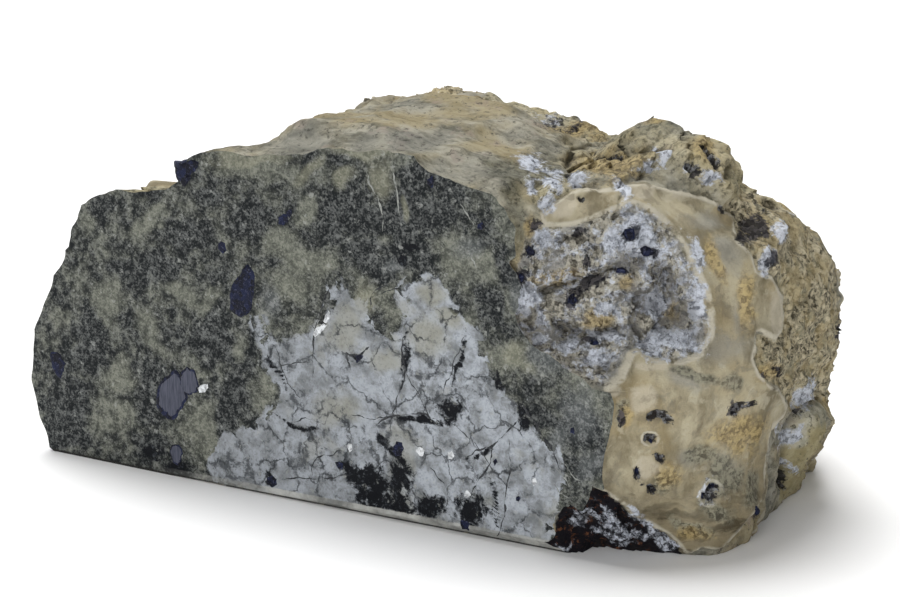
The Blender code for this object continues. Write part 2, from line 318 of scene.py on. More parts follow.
def hullRadius(directions):
    # facets: radius = (sum of (n.d / D) ^ k) ^ (-1/k); a scar stops the ray where it enters its
    # ball, and a knob lets it go on to where it leaves its ball, with a small fillet at each
    sharp, fillet = stoneForm["edgeSharpness"], stoneForm["fillet"]
    facets = stoneForm["facets"].values()
    facing = np.array([compass(azimuth, lean) for azimuth, lean, _ in facets])
    away = np.array([distance for _, _, distance in facets])
    reach = np.maximum(directions @ facing.T, 0.0) / away
    radius = (reach ** sharp).sum(axis=1) ** (-1.0 / sharp)
    for deepest, azimuth, lean, ball in stoneForm["scars"].values():
        centre = np.array(deepest, float) + compass(azimuth, lean) * ball - heart
        ahead, half, meets = throughBall(directions, centre, ball)
        radius = softLeast(radius, np.where(meets, ahead - half, 1e3), fillet)
    for middle, ball in stoneForm["knobs"].values():
        ahead, half, meets = throughBall(directions, np.array(middle, float) - heart, ball)
        radius = -softLeast(-radius, -np.where(meets, ahead + half, 0.0), fillet)
    return radius


def hullSurface(directions):
    # radius, and the unit normal: d - (change of radius across d) / radius
    radius = hullRadius(directions)
    helper = np.where(np.abs(directions[:, :1]) < 0.7, [[1.0, 0.0, 0.0]], [[0.0, 0.0, 1.0]])
    normals = directions.copy()
    step = 0.004
    side = np.cross(directions, helper)
    for _ in range(2):
        side /= np.linalg.norm(side, axis=1, keepdims=True)
        aside = directions + side * step
        aside /= np.linalg.norm(aside, axis=1, keepdims=True)
        change = (hullRadius(aside) - radius) / step
        normals -= side * (change / radius)[:, None]
        side = np.cross(directions, side)
    normals /= np.linalg.norm(normals, axis=1, keepdims=True)
    return radius, normals


def solidRelief(points, normals):
    # the solid's own relief: swellings (1 - t^2)^2, V grooves, ragged steps, scallops and grain
    height = np.zeros(len(points))
    for centre, radius, swell in stoneForm["swellings"].values():
        gap = np.linalg.norm(points - np.array(centre, float), axis=1) / radius
        height += swell * np.maximum(1.0 - gap ** 2, 0.0) ** 2
    for path, halfWidth, depth in stoneForm["grooves"].values():
        height -= depth * np.maximum(1.0 - nearPath(points, path) / halfWidth, 0.0)
    level = np.clip(normals[:, 2] * 2.0 - 0.7, 0.0, 1.0)
    for foot, azimuth, drop, width, reach in stoneForm["steps"].values():
        offset = points - np.array(foot, float)
        ahead = offset @ compass(azimuth) + stoneForm["stepRagged"] * hills(points, 12.0, 13)
        fade = smoothRise(2.0 - 2.0 * np.abs(offset @ compass(azimuth + 90.0)) / reach)
        height -= drop * level * fade * smoothRise(ahead / width + 0.5)
    broken = np.zeros(len(points))
    for size, deep, seed in stoneForm["scallops"]:
        broken += deep * (0.3 - np.abs(hills(points, size, seed)))
    for size, deep, seed in stoneForm["grain"]:
        broken += deep * hills(points, size, seed)
    centre, radius, smoothing = stoneForm["crust"]
    gap = np.linalg.norm(points - np.array(centre, float), axis=1) / radius
    return height + broken * (1.0 - smoothing * np.maximum(1.0 - gap ** 2, 0.0) ** 2)


# The stone's skin: where each kind of surface lies

stoneSkin = {
    "crust": (                                  # smooth tan crust over the right end
        (590, 484), (592, 460), (594, 434), (596, 414), (598, 396), (603, 384), (617, 375), (626, 351),
        (635, 346), (650, 357), (679, 359), (697, 351), (706, 334), (707, 313), (702, 292), (693, 272),
        (684, 255), (672, 237), (662, 224), (645, 211), (631, 206), (614, 211), (600, 217), (586, 222),
        (573, 227), (555, 229), (542, 227), (539, 213), (552, 202), (575, 190), (607, 188), (640, 183),
        (670, 190), (700, 198), (716, 204), (731, 217), (732, 237), (750, 254), (755, 272), (771, 276),
        (779, 296), (783, 328), (772, 340), (756, 332), (751, 358), (757, 373), (769, 384), (778, 386),
        (787, 410), (774, 423), (768, 434), (766, 460), (765, 487), (756, 505), (745, 522), (730, 537),
        (719, 549), (697, 547), (689, 552), (682, 553), (674, 541), (664, 532), (647, 522), (630, 515),
        (625, 507), (617, 500),
    ),
    "pocket": (                                 # broken hollow inside the crust's rim
        (535, 225), (542, 227), (555, 229), (573, 227), (586, 222), (600, 217), (614, 211), (631, 206),
        (645, 211), (662, 224), (672, 237), (684, 255), (693, 272), (702, 292), (707, 313), (706, 334),
        (697, 351), (679, 359), (650, 357), (635, 346), (626, 351), (617, 375), (603, 388), (560, 372),
        (505, 362), (495, 340), (505, 290), (520, 262), (525, 240),
    ),
    "granular": (                               # crumbling brown break at the far right
        (731, 217), (722, 205), (745, 192), (775, 198), (850, 240), (850, 400), (830, 402), (800, 414),
        (789, 411), (778, 386), (769, 384), (757, 373), (751, 358), (756, 332), (772, 340), (783, 328),
        (779, 296), (771, 276), (755, 272), (750, 254), (732, 237),
    ),
    "lobe": (                                   # yellow-green knob low on the right
        (782, 441), (800, 414), (830, 400), (850, 400), (840, 480), (790, 500), (775, 505), (784, 488),
        (780, 462),
    ),
    "corner": (                                 # dark broken corner under the face and the crust
        (535, 565), (548, 538), (562, 508), (590, 488), (607, 491), (617, 500), (630, 515), (647, 522),
        (664, 532), (674, 541), (682, 553), (690, 560), (640, 575),
    ),
    "lime": (                                   # bluish white lime: photo place, half sizes, turn
        (545, 239, 14, 10, 0), (530, 162, 13, 8, 20), (549, 182, 11, 11, 40), (576, 183, 11, 7, 0),
        (543, 204, 8, 9, 0), (529, 298, 18, 15, -20), (610, 240, 10, 14, 0), (635, 235, 28, 20, 25),
        (650, 250, 16, 12, 0), (660, 306, 20, 20, 0), (672, 340, 32, 16, -10), (572, 345, 16, 10, -30),
        (607, 341, 22, 7, -20), (606, 311, 13, 12, 0), (541, 339, 9, 7, 0), (622, 190, 6, 13, -30),
        (600, 360, 14, 8, 30), (651, 169, 16, 4, 0), (661, 158, 5, 9, -20), (686, 169, 5, 5, 0),
        (712, 181, 10, 7, 20), (782, 231, 11, 9, 10), (766, 262, 6, 13, 20), (790, 434, 9, 14, 45),
        (808, 396, 10, 18, 30), (790, 465, 7, 5, 0), (590, 514, 14, 5, 25), (622, 527, 16, 7, 25),
        (665, 542, 13, 6, 20), (634, 506, 9, 3, 40), (645, 521, 16, 3, 30), (707, 492, 8, 11, 20),
        (527, 185, 5, 9, 0), (700, 300, 6, 26, -15), (693, 255, 7, 18, -30), (602, 502, 9, 3, 35),
        (641, 537, 11, 4, 15), (579, 523, 9, 3, 10), (612, 514, 12, 4, 30), (600, 531, 12, 3, 10),
        (655, 531, 10, 4, 30), (622, 543, 14, 3, 5), (565, 541, 8, 3, 0), (586, 505, 6, 4, 40),
    ),
    "dark": (                                   # blue-black and brown-black crumbs
        (628, 234, 8, 9, 30), (650, 251, 6, 6, 0), (570, 300, 9, 8, 0), (595, 343, 7, 4, 0),
        (623, 270, 7, 4, 0), (521, 276, 10, 11, 0), (529, 251, 6, 8, 0), (534, 223, 7, 6, 0),
        (580, 231, 7, 4, 0), (588, 260, 6, 7, 0), (590, 284, 24, 7, -15), (692, 166, 4, 4, 0),
        (698, 178, 5, 5, 0), (710, 156, 4, 13, -30), (614, 155, 11, 3, 0), (753, 227, 17, 19, 0),
        (742, 240, 9, 9, 0), (771, 259, 5, 10, 20), (659, 457, 6, 3, 20), (636, 471, 4, 6, -20),
        (641, 478, 3, 3, 0), (650, 486, 5, 6, 0), (734, 404, 6, 8, 20), (748, 402, 7, 2, 0),
        (711, 487, 3, 4, 0), (703, 497, 3, 2, 0), (783, 477, 3, 10, 5), (806, 411, 14, 2, -25),
        (757, 512, 6, 7, 0), (622, 414, 5, 9, 0), (776, 372, 5, 3, 0), (762, 372, 3, 3, 0),
    ),
    "ochre": (                                  # orange-brown stain
        (602, 321, 20, 13, 0), (632, 281, 10, 10, 0), (682, 310, 8, 12, 0), (737, 430, 29, 26, 0),
        (610, 164, 44, 20, 0), (706, 150, 14, 20, -20), (560, 275, 30, 9, -10), (655, 120, 22, 5, 0),
        (528, 224, 8, 11, 0), (690, 530, 17, 9, 0), (668, 474, 15, 16, 0), (626, 415, 8, 10, 0),
        (765, 372, 15, 11, 0), (708, 140, 14, 12, 0), (745, 300, 10, 35, 0), (713, 262, 9, 28, -20),
        (560, 532, 10, 9, 0), (575, 545, 10, 6, 0),
    ),
    "creamPlate": (                             # pale smooth plates on the crust
        (640, 194, 13, 10, 10), (679, 194, 11, 5, 5), (774, 314, 10, 27, -5), (560, 207, 17, 11, -15),
        (650, 365, 20, 7, 0), (612, 389, 8, 8, 0), (649, 465, 15, 9, 0), (642, 400, 17, 14, 0),
        (585, 272, 30, 5, -14), (541, 350, 12, 16, 20),
    ),
    "bare": (                                   # parts of the hollow without lime
        (566, 264, 30, 9, -12), (590, 290, 28, 10, -15), (600, 322, 24, 12, 0), (634, 282, 14, 8, 0),
        (684, 312, 12, 16, 0), (556, 300, 14, 12, 0), (648, 322, 10, 14, 0), (584, 236, 14, 8, 0),
        (540, 360, 34, 10, 0), (520, 262, 10, 14, 0),
    ),
    "knobbly": (                                # lumpy crest over the right end
        (600, 160, 62, 34, 0), (655, 150, 60, 40, 0), (705, 160, 50, 50, 0), (745, 190, 50, 34, 30),
        (552, 195, 44, 30, 0),
    ),
    "shade": (                                  # grey, lichen-dark skin
        (750, 186, 38, 12, 38), (160, 182, 74, 24, -5), (200, 160, 24, 18, 0), (110, 188, 40, 14, 0),
        (655, 128, 26, 9, 0), (540, 175, 30, 26, 30), (600, 128, 40, 6, 20), (505, 168, 30, 14, 10),
        (700, 452, 19, 15, 0), (512, 212, 14, 44, -15), (722, 474, 18, 24, 0), (712, 506, 22, 12, 20),
        (662, 482, 13, 14, 0), (688, 524, 26, 8, 20), (690, 372, 30, 7, 15), (728, 380, 16, 12, 0),
        (622, 412, 9, 12, 0), (745, 488, 12, 22, 10),
    ),
    "greyHaze": (                               # blue-grey translucent crust
        (725, 255, 14, 24, -30), (720, 345, 30, 20, 0), (700, 222, 22, 11, 0), (738, 315, 14, 22, 0),
        (680, 375, 24, 12, 20), (721, 470, 20, 25, 0), (690, 455, 14, 14, 0),
    ),
}

# Pits in the crust: depth in millimetres, half width in pixels, photo places
crustPits = {
    "halfMoon": (1.3, 4.2, (650, 416), (656, 412), (662, 413), (668, 419)),
    "ring": (1.1, 4.8, (648, 438), (651, 438)),
    "oval": (1.5, 6.4, (706, 495), (711, 488)),
    "clusterTop": (1.0, 2.8, (657, 455), (662, 457)),
    "clusterLeft": (0.9, 2.6, (636, 467), (640, 475)),
    "clusterLow": (1.0, 2.8, (648, 483), (652, 489)),
    "jagged": (1.2, 3.4, (732, 409), (735, 404), (741, 403)),
    "jaggedTail": (0.8, 2.2, (741, 403), (752, 402)),
    "greenPit": (1.1, 3.6, (718, 209), (721, 211)),
    "crestHole": (1.8, 4.2, (690, 164), (694, 170)),
    "crestSlit": (2.0, 3.6, (705, 146), (711, 157), (717, 168)),
    "bulgeSlit": (1.4, 2.8, (604, 155), (614, 154), (624, 157)),
    "stripGap": (1.8, 2.8, (782, 468), (784, 488)),
    "lipPit": (0.8, 2.2, (578, 201), (582, 202)),
}
rimmedPits = ("ring", "oval")                   # pits with a pale rim

# Creases of the crest and the crust: depth in millimetres, half width in pixels, photo places
creases = {
    "underKnob": (1.5, 3.0, (620, 138), (634, 149), (652, 153), (670, 151), (686, 146)),
    "besideKnob": (1.6, 2.6, (686, 130), (690, 146), (688, 162), (690, 178)),
    "bulgeTop": (1.0, 3.5, (572, 152), (590, 141), (612, 137), (634, 142), (656, 154)),
    "bulgeLeft": (1.1, 3.0, (572, 152), (570, 168), (578, 182), (594, 190), (614, 186)),
    "bulgeRight": (1.0, 3.0, (656, 154), (654, 168), (640, 178), (620, 184)),
    "knobFoot": (1.2, 3.0, (690, 178), (706, 182), (722, 178), (728, 166)),
    "ridgeFoot": (1.1, 3.0, (722, 188), (740, 196), (757, 203), (774, 206)),
    "ridgeTop": (0.8, 2.6, (726, 166), (742, 176), (758, 188)),
    "lobeEdge": (1.6, 3.0, (823, 402), (799, 414), (788, 430), (783, 451), (782, 474), (784, 490)),
    "underShelf": (2.0, 4.5, (545, 294), (560, 286), (580, 281), (598, 275), (614, 269)),
    "hollowLeft": (1.8, 4.0, (515, 262), (521, 276), (534, 292)),
    "hollowLow": (1.5, 3.5, (556, 320), (575, 332), (598, 337), (624, 332)),
    "hollowRight": (1.3, 3.5, (641, 300), (635, 318), (641, 338)),
    "hollowTop": (1.2, 3.5, (560, 236), (578, 233), (592, 240), (600, 252)),
    "plateFoot": (0.7, 2.4, (540, 228), (541, 212), (552, 202), (575, 190)),
    "plateSplit": (0.7, 2.4, (610, 212), (617, 198), (622, 184)),
    "wood": (0.45, 1.6, (615, 470), (640, 498), (668, 516), (694, 530)),
    "woodLow": (0.4, 1.6, (640, 512), (664, 520), (690, 534), (712, 540)),
    "stripSide": (0.6, 2.0, (768, 425), (767, 446), (764, 470), (760, 492)),
}


# The hidden sides: their noise is turned away from the sawn faces, and places that the photo shows
# edge on are kept calm
hiddenTurn = np.stack(
    [compass(37.0, 28.0), compass(127.0), np.cross(compass(37.0, 28.0), compass(127.0))], axis=1
)
hiddenKinds = {                                 # noise: size, seed, height, level added
    "crust": (34.0, 41, 5.2, -0.2),
    "pocket": (30.0, 47, 6.0, -3.6),
    "granular": (40.0, 53, 5.2, -1.6),
    "lime": (14.0, 61, 1.4, -0.95),
    "dark": (11.0, 67, 1.4, -1.0),
    "ochre": (20.0, 71, 1.2, -0.25),
    "creamPlate": (24.0, 73, 1.2, -0.6),
    "greyHaze": (22.0, 79, 1.2, -0.3),
    "knobbly": (26.0, 83, 1.4, 0.1),
    "shade": (18.0, 87, 1.2, -0.4),
}
hiddenPlaces = {                                # centre, radius, what is added to the kinds there
    "ledge": ((22, 10, 58), 22, {"crust": -6.0, "pocket": -6.0, "granular": -6.0, "shade": 1.2}),
    "leftEnd": ((-2, 16, 28), 34, {"crust": 4.0, "pocket": -8.0, "granular": -8.0, "shade": 0.3}),
    "rightEnd": ((148, 50, 44), 22, {"pocket": -8.0, "granular": 1.2}),
    "crestBack": ((92, 48, 72), 26, {"crust": -4.0, "pocket": -8.0, "granular": -8.0}),
}


def skinFields(points, normals):
    # fields of the kinds of surface, above zero inside each; the hidden sides take theirs from noise
    places, strayed = photoPlace(points), wandering(points)
    facing = ((viewPlace - points) * normals).sum(axis=1)
    facing /= np.linalg.norm(viewPlace - points, axis=1)
    seen = smoothRise(facing, -0.06, 0.06)
    fields = {"seen": seen}
    turned = points @ hiddenTurn
    turned = turned + 5.0 * np.stack([hills(turned, 11.0, seed) for seed in (91, 92, 93)], axis=-1)
    hidden = {"lobe": -4.0, "corner": -4.0}     # well below zero: neither lies on the hidden sides
    for name, (size, seed, high, level) in hiddenKinds.items():
        hidden[name] = high * layeredHills(turned, size, seed) + level
    for centre, radius, changes in hiddenPlaces.values():
        gap = np.linalg.norm(points - np.array(centre, float), axis=1) / radius
        for name, change in changes.items():
            hidden[name] += change * smoothRise(1.4 - gap, 0.0, 0.5)
    for name, behind in hidden.items():
        shown = markField(places, strayed, stoneSkin[name])
        fields[name] = shown * seen + behind * (1.0 - seen)
    inHollow = smoothRise(fields["pocket"], -0.2, 0.8)
    fields["lime"] = np.maximum(fields["lime"], inHollow * 0.95 - 1.0)
    fields["lime"] -= 0.9 * seen * np.clip(blobs(strayed, stoneSkin["bare"]), 0.0, 1.0)
    fields["dark"] = np.maximum(fields["dark"], inHollow * 0.4 - 1.0)
    fields["pits"] = np.full(len(points), -1.0)
    fields["pitRims"] = np.full(len(points), -1.0)
    fields["sunk"] = np.zeros(len(points))
    bent = 0.7 * places + 0.3 * strayed
    for name, (depth, width, *path) in crustPits.items():
        bowl = (2.0 - nearPath(bent, path) / width) * seen - 1.0
        fields["pits"] = np.maximum(fields["pits"], bowl)
        if name in rimmedPits:
            fields["pitRims"] = np.maximum(fields["pitRims"], bowl)
        fields["sunk"] = np.maximum(fields["sunk"], depth * np.clip(bowl * 1.6, 0.0, 1.0) ** 0.7)
    return fields


reliefHeights = {                               # in millimetres
    "torn": (0.55, 0.3),                        # raggedness of the edges, broad and fine
    "bare": (0.32, 0.18, 0.2),                  # woven fabric, fine hills and creases of the bare skin
    "crest": (2.2, 0.6, 0.18),                  # knobs, small creases and level of the lumpy crest
    "smooth": (0.12, 0.05),                     # broad and fine hills of the crust
    "crumbs": (0.75, 0.42, 0.35),               # large and small pebbles and hills of the breaks
    "breaks": {"pocket": 1.5, "granular": 0.9, "corner": 1.5},
    "crust": 0.75,
    "lip": 0.4,                                 # the crust's raised edge
    "hollow": 0.35,
    "lime": (0.245, 0.35),                      # thickness and pebbles of the lime
    "caveDepth": 1.6,                           # depth at which a place counts as a cave
}
edgeBands = {                                   # where each mask rises, in its field's units
    "crust": (-0.45, 0.35), "pocket": (-0.6, 1.2), "granular": (-0.6, 1.0), "lobe": (-0.8, 0.8),
    "corner": (-0.6, 0.6),
}


def skinRelief(points, normals):
    # fine relief: crust thickness, its pits, crumbs, granules and the weathered fabric of the top
    fields = skinFields(points, normals)
    broad, fine = reliefHeights["torn"]
    ragged = broad * layeredHills(points, 4.5, 21) + fine * hills(points, 1.3, 29)
    bands = {name: smoothRise(fields[name] + ragged, *band) for name, band in edgeBands.items()}
    crust, pocket, granular, lobe, corner = bands.values()
    rough = np.maximum.reduce([pocket, granular, 0.7 * lobe, corner])
    large = pebbles(points, 2.3, 5)
    small = pebbles(points + 0.6 * hills(points, 1.9, 3)[:, None], 1.15, 9)
    largeCrumbs, smallCrumbs, between = reliefHeights["crumbs"]
    crumbs = largeCrumbs * (0.55 - large) + smallCrumbs * (0.55 - small)
    crumbs = crumbs + between * layeredHills(points, 5.0, 33)
    high, crease, level = reliefHeights["crest"]
    knobs = np.abs(layeredHills(points, 8.0, 35)) - 0.3
    knobbly = high * knobs + crease * np.abs(hills(points, 2.4, 39)) - level
    lime = smoothRise(fields["lime"] + 0.25 * hills(points, 2.4, 37), 0.1, 0.6)
    woven, fine, crease = reliefHeights["bare"]
    fabric = layeredHills(points * np.array([0.42, 1.0, 1.0]), 4.2, 43)
    skin = woven * fabric + fine * hills(points, 1.1, 45) - crease * np.abs(hills(points, 7.0, 49))
    skin += smoothRise(fields["knobbly"], 0.0, 0.5) * knobbly
    broad, fine = reliefHeights["smooth"]
    smooth = broad * layeredHills(points, 6.0, 51) + fine * hills(points, 1.5, 55)
    height = (1.0 - np.maximum(rough, crust)) * skin + crust * (1.0 - rough) * smooth
    breaks = reliefHeights["breaks"]
    height += (rough * 1.2 - granular * 0.45) * crumbs
    height += breaks["pocket"] * pocket * layeredHills(points, 6.5, 63)
    coarse = breaks["granular"] * granular + breaks["corner"] * corner
    height += coarse * layeredHills(points, 3.6, 65)
    height += crust * reliefHeights["crust"] - reliefHeights["hollow"] * pocket
    height += reliefHeights["lip"] * crust * np.exp(-((fields["crust"] - 0.9) / 0.7) ** 2)
    thick, pebbled = reliefHeights["lime"]
    height += lime * (thick + pebbled * (0.6 - small))
    height -= fields.pop("sunk") * (1.0 + 0.25 * hills(points, 1.2, 57))
    stray = np.stack([hills(points, 3.0, 59), hills(points, 3.0, 60)], axis=-1)
    strayed = photoPlace(points) + 5.0 * stray
    for depth, width, *path in creases.values():
        height -= depth * fields["seen"] * np.exp(-(nearPath(strayed, path) / width) ** 2)
    # painted shade for hollows and creases: the deeper a place lies in the relief, the darker its
    # colour is painted
    fields["caveShade"] = np.clip(-(height - 0.5 * crust) / reliefHeights["caveDepth"], -1.0, 1.0)
    return height, fields


def skinPoints(directions):
    # along each ray from the heart: hull, the solid's relief and the fine relief over the slant
    radius, normals = hullSurface(directions)
    hull = heart + directions * radius[:, None]
    slant = np.maximum((normals * directions).sum(axis=1), stoneForm["leastSlant"])
    radius = radius + solidRelief(hull, normals) / slant
    solid = heart + directions * radius[:, None]
    height, fields = skinRelief(solid, normals)
    return radius + height / slant, fields


# The stone's mesh: columns run round an axis through the heart, square to the sawn face, and rows
# run from the middle of that face over its edge to the back

stoneGrid = {
    "columns": 470,
    "faceRows": 50,
    "roughRows": 156,
    "fineStep": 0.5,                            # row spacing near the face, in millimetres
    "fineReach": 58.0,                          # distance from the face's edge that it holds for
    "coarseStep": 2.0,
    "evening": 14,                              # columns that the edge is evened over, each way
    "shiftedRows": 30,                          # rows that still follow the true edge
    "halvings": 14,                             # of the interval in which an edge is looked for
    "edgeTries": 90,
    "edgeReach": 0.72,                          # share of half a turn that they cover
    "pathTries": 260,
    "angleTries": 721,
    "blend": 12,                                # tries over which the spacing changes, each way
    "flat": 0.02,                               # a point this near a saw cut, in millimetres, is on it
    "columnSteps": {                            # column spacing round the edge, by angle from +x
        "end": (-48.0, 38.0, 0.55),
        "top": (38.0, 150.0, 0.62),
        "left": (150.0, 212.0, 1.15),
        "bottom": (212.0, 312.0, 1.6),
    },
}


def meridian(angle, polar):
    # unit vector at a polar angle from the sawn face's side, in the half plane at that angle
    return np.stack(
        [np.sin(polar) * np.cos(angle), -np.cos(polar), np.sin(polar) * np.sin(angle)], axis=-1
    )


def planeRadii(directions):
    # distance along each ray to each saw cut
    radii = []
    for point, facing in sawnCuts.values():
        ahead = directions @ np.array(facing)
        away = (np.array(point) - heart) @ np.array(facing)
        radii.append(np.where(ahead > 1e-6, away / np.maximum(ahead, 1e-6), 1e6))
    return np.stack(radii)


def cutSurface(directions):
    # nearest of the three sawn planes and the rough skin; label 0, 1 and 2 are sawn, 3 is rough
    rough, fields = skinPoints(directions)
    radii = np.concatenate([planeRadii(directions), rough[None]])
    return radii.min(axis=0), radii.argmin(axis=0), fields


def crossing(angle, low, high, label):
    # polar angle where the surface stops being the labelled one, by halving the interval
    for _ in range(stoneGrid["halvings"]):
        middle = (low + high) / 2.0
        still = cutSurface(meridian(angle, middle))[1] == label
        low = np.where(still, middle, low)
        high = np.where(still, high, middle)
    return (low + high) / 2.0


def faceEdge(angle):
    # polar angle at which each meridian leaves the tall sawn face
    steps = np.linspace(0.1, np.pi * stoneGrid["edgeReach"], stoneGrid["edgeTries"])
    many = np.repeat(angle, len(steps))
    labels = cutSurface(meridian(many, np.tile(steps, len(angle))))[1].reshape(len(angle), -1)
    last = len(steps) - 1 - (labels[:, ::-1] == 0).argmax(axis=1)
    return crossing(angle, steps[last], steps[last + 1], 0)


def columnAngles():
    # angles spaced so that the columns leave the face's edge at the wanted steps
    fine = np.linspace(-48.0, 312.0, stoneGrid["angleTries"])
    edge = faceEdge(np.radians(fine))
    rim = heart[1] * np.tan(edge)
    along = np.hypot(np.gradient(rim), rim * np.gradient(np.radians(fine)))
    step = np.ones(len(fine))
    for low, high, wanted in stoneGrid["columnSteps"].values():
        step[(fine >= low) & (fine <= high)] = wanted
    blend = stoneGrid["blend"]
    kernel = np.ones(2 * blend + 1) / (2.0 * blend + 1.0)
    step = np.convolve(np.pad(step, blend, mode="edge"), kernel, mode="valid")
    count = np.concatenate([[0.0], np.cumsum((along / step)[:-1])])
    wanted = np.linspace(0.0, count[-1], stoneGrid["columns"] + 1)[:-1]
    return np.radians(np.interp(wanted, count, fine))


def evened(values, width):
    # running mean round a closed ring
    kernel = np.hanning(2 * width + 1)
    padded = np.concatenate([values[-width:], values, values[:width]])
    return np.convolve(padded, kernel / kernel.sum(), mode="valid")


def rowAngles(angle, edge):
    # from the edge to the back pole: equal shares of a length that counts more near the face,
    # measured from an evened edge, with the first rows shifted to start at the true edge
    start = evened(edge, stoneGrid["evening"])
    steps = np.linspace(0.0, 1.0, stoneGrid["pathTries"])
    polar = start[:, None] + (np.pi - start[:, None]) * steps
    way = meridian(np.repeat(angle, len(steps)), polar.ravel())
    radius = np.minimum(hullRadius(way), planeRadii(way).min(axis=0))
    path = (way * radius[:, None]).reshape(len(angle), len(steps), 3)
    length = np.linalg.norm(np.diff(path, axis=1), axis=2)
    reach = np.cumsum(length, axis=1)
    grow = smoothRise(reach, stoneGrid["fineReach"], stoneGrid["fineReach"] + 30.0)
    step = stoneGrid["fineStep"] + grow * (stoneGrid["coarseStep"] - stoneGrid["fineStep"])
    count = np.concatenate([np.zeros((len(angle), 1)), np.cumsum(length / step, axis=1)], axis=1)
    count /= count[:, -1:]
    wanted = np.linspace(0.0, 1.0, stoneGrid["roughRows"] + 1)
    rows = np.array([np.interp(wanted, share, line) for share, line in zip(count, polar)])
    shift = smoothRise(1.0 - np.arange(len(wanted)) / stoneGrid["shiftedRows"])
    return rows + (edge - start)[:, None] * shift


def stoneMesh():
    # the whole grid: face rows at equal distances from its middle, then the rough rows, with the
    # rows that cross a sawn edge moved onto it, and one point at each pole
    angle = columnAngles()
    edge = faceEdge(angle)
    share = np.linspace(0.0, 1.0, stoneGrid["faceRows"] + 1)[1:-1]
    facePolar = np.arctan(np.tan(edge)[:, None] * share)
    roughPolar = rowAngles(angle, edge)[:, :-1]
    polar = np.concatenate([facePolar, roughPolar], axis=1)
    columns, rows = polar.shape
    many = np.repeat(angle, rows)
    labels = cutSurface(meridian(many, polar.ravel()))[1].reshape(columns, rows)
    edgeRow = len(share)
    labels[:, :edgeRow] = 0
    column, row = np.nonzero(labels[:, edgeRow + 1:-1] != labels[:, edgeRow + 2:])
    row = row + edgeRow + 1
    before = labels[column, row]
    low, high = polar[column, row], polar[column, row + 1]
    polar[column, row] = crossing(angle[column], low, high, before)
    way = meridian(many, polar.ravel())
    radius, label, fields = cutSurface(way)
    onEdge = (np.arange(columns * rows) % rows) <= edgeRow
    radius = np.where(onEdge, planeRadii(way)[0], radius)
    points = heart + way * radius[:, None]
    label = np.where(onEdge, 0, label)
    poleWay = meridian(np.zeros(2), np.array([0.0, np.pi]))
    poleRadius, poleLabel, poleFields = cutSurface(poleWay)
    points = np.concatenate([points, heart + poleWay * poleRadius[:, None]])
    label = np.concatenate([label, poleLabel])
    fields = {name: np.concatenate([fields[name], poleFields[name]]) for name in fields}
    return points, label, fields, columns, rows


def ringFaces(columns, rows):
    # quads between neighbouring columns and rows, and a fan of triangles at each end
    index = np.arange(columns * rows).reshape(columns, rows)
    beside = np.roll(index, -1, axis=0)
    quads = np.stack([index[:, :-1], index[:, 1:], beside[:, 1:], beside[:, :-1]], axis=-1)
    first, last = columns * rows, columns * rows + 1
    firstFan = np.stack([np.full(columns, first), index[:, 0], beside[:, 0]], axis=-1)
    lastFan = np.stack([np.full(columns, last), beside[:, -1], index[:, -1]], axis=-1)
    return quads.reshape(-1, 4), np.concatenate([firstFan, lastFan])


def meshPiece(name, points, faces, material):
    # a smooth mesh object at the origin, with its place in its points
    mesh = bpy.data.meshes.new(name)
    mesh.from_pydata(toWorld(points).tolist(), [], faces)
    mesh.update()
    piece = bpy.data.objects.new(name, mesh)
    bpy.context.scene.collection.objects.link(piece)
    mesh.materials.append(material)
    mesh.shade_smooth()
    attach(piece, "root")
    return piece


def ringPiece(name, rings, ends, material):
    # many closed forms in one piece: rings (copies, columns, rows, 3) and their two end points; a
    # copy whose volume, the sum of its corners times its areas, is below zero is turned round
    copies, columns, rows = rings.shape[:3]
    quads, fans = ringFaces(columns, rows)
    middle = rings.mean(axis=(1, 2), keepdims=True)
    corners = (rings - middle).reshape(copies, -1, 3)[:, quads]
    areas = np.cross(corners[:, :, 2] - corners[:, :, 0], corners[:, :, 3] - corners[:, :, 1])
    volume = (areas * corners.mean(axis=2)).sum(axis=(1, 2))
    rings = np.where((volume < 0)[:, None, None, None], rings[:, ::-1], rings)
    points = np.concatenate([rings.reshape(copies, -1, 3), ends], axis=1)
    shift = np.arange(copies)[:, None, None] * points.shape[1]
    faces = (quads + shift).reshape(-1, 4).tolist() + (fans + shift).reshape(-1, 3).tolist()
    return meshPiece(name, points.reshape(-1, 3), faces, material)


def storeField(mesh, name, values):
    # one number for each point, for the material to read
    layer = mesh.attributes.new(name, "FLOAT", "POINT")
    layer.data.foreach_set("value", np.asarray(values, np.float32))


def planarFaces(points, mesh):
    # which faces have all their corners on one of the saw cuts
    away = [(points - np.array(point)) @ np.array(facing) for point, facing in sawnCuts.values()]
    onPlane = np.abs(np.array(away)) < stoneGrid["flat"]
    corners = np.empty(len(mesh.loops), np.int64)
    mesh.loops.foreach_get("vertex_index", corners)
    starts = np.empty(len(mesh.polygons), np.int64)
    mesh.polygons.foreach_get("loop_start", starts)
    return np.logical_and.reduceat(onPlane[:, corners], starts, axis=1).any(axis=0)


# Shader helpers


def feed(tree, node, inputs):
    # each input takes a plain value, or a link from another node's socket
    for key, value in inputs.items():
        if isinstance(value, bpy.types.NodeSocket):
            tree.links.new(value, node.inputs[key])
        else:
            node.inputs[key].default_value = value


def put(tree, kind, inputs=None, **settings):
    # one node with its settings and inputs
    node = tree.nodes.new("ShaderNode" + kind)
    for name, value in settings.items():
        setattr(node, name, value)
    feed(tree, node, inputs or {})
    return node


def calc(tree, operation, first, second=0.0, third=0.0, clamp=False):
    # arithmetic on values
    node = put(tree, "Math", {0: first, 1: second, 2: third}, operation=operation, use_clamp=clamp)
    return node.outputs[0]


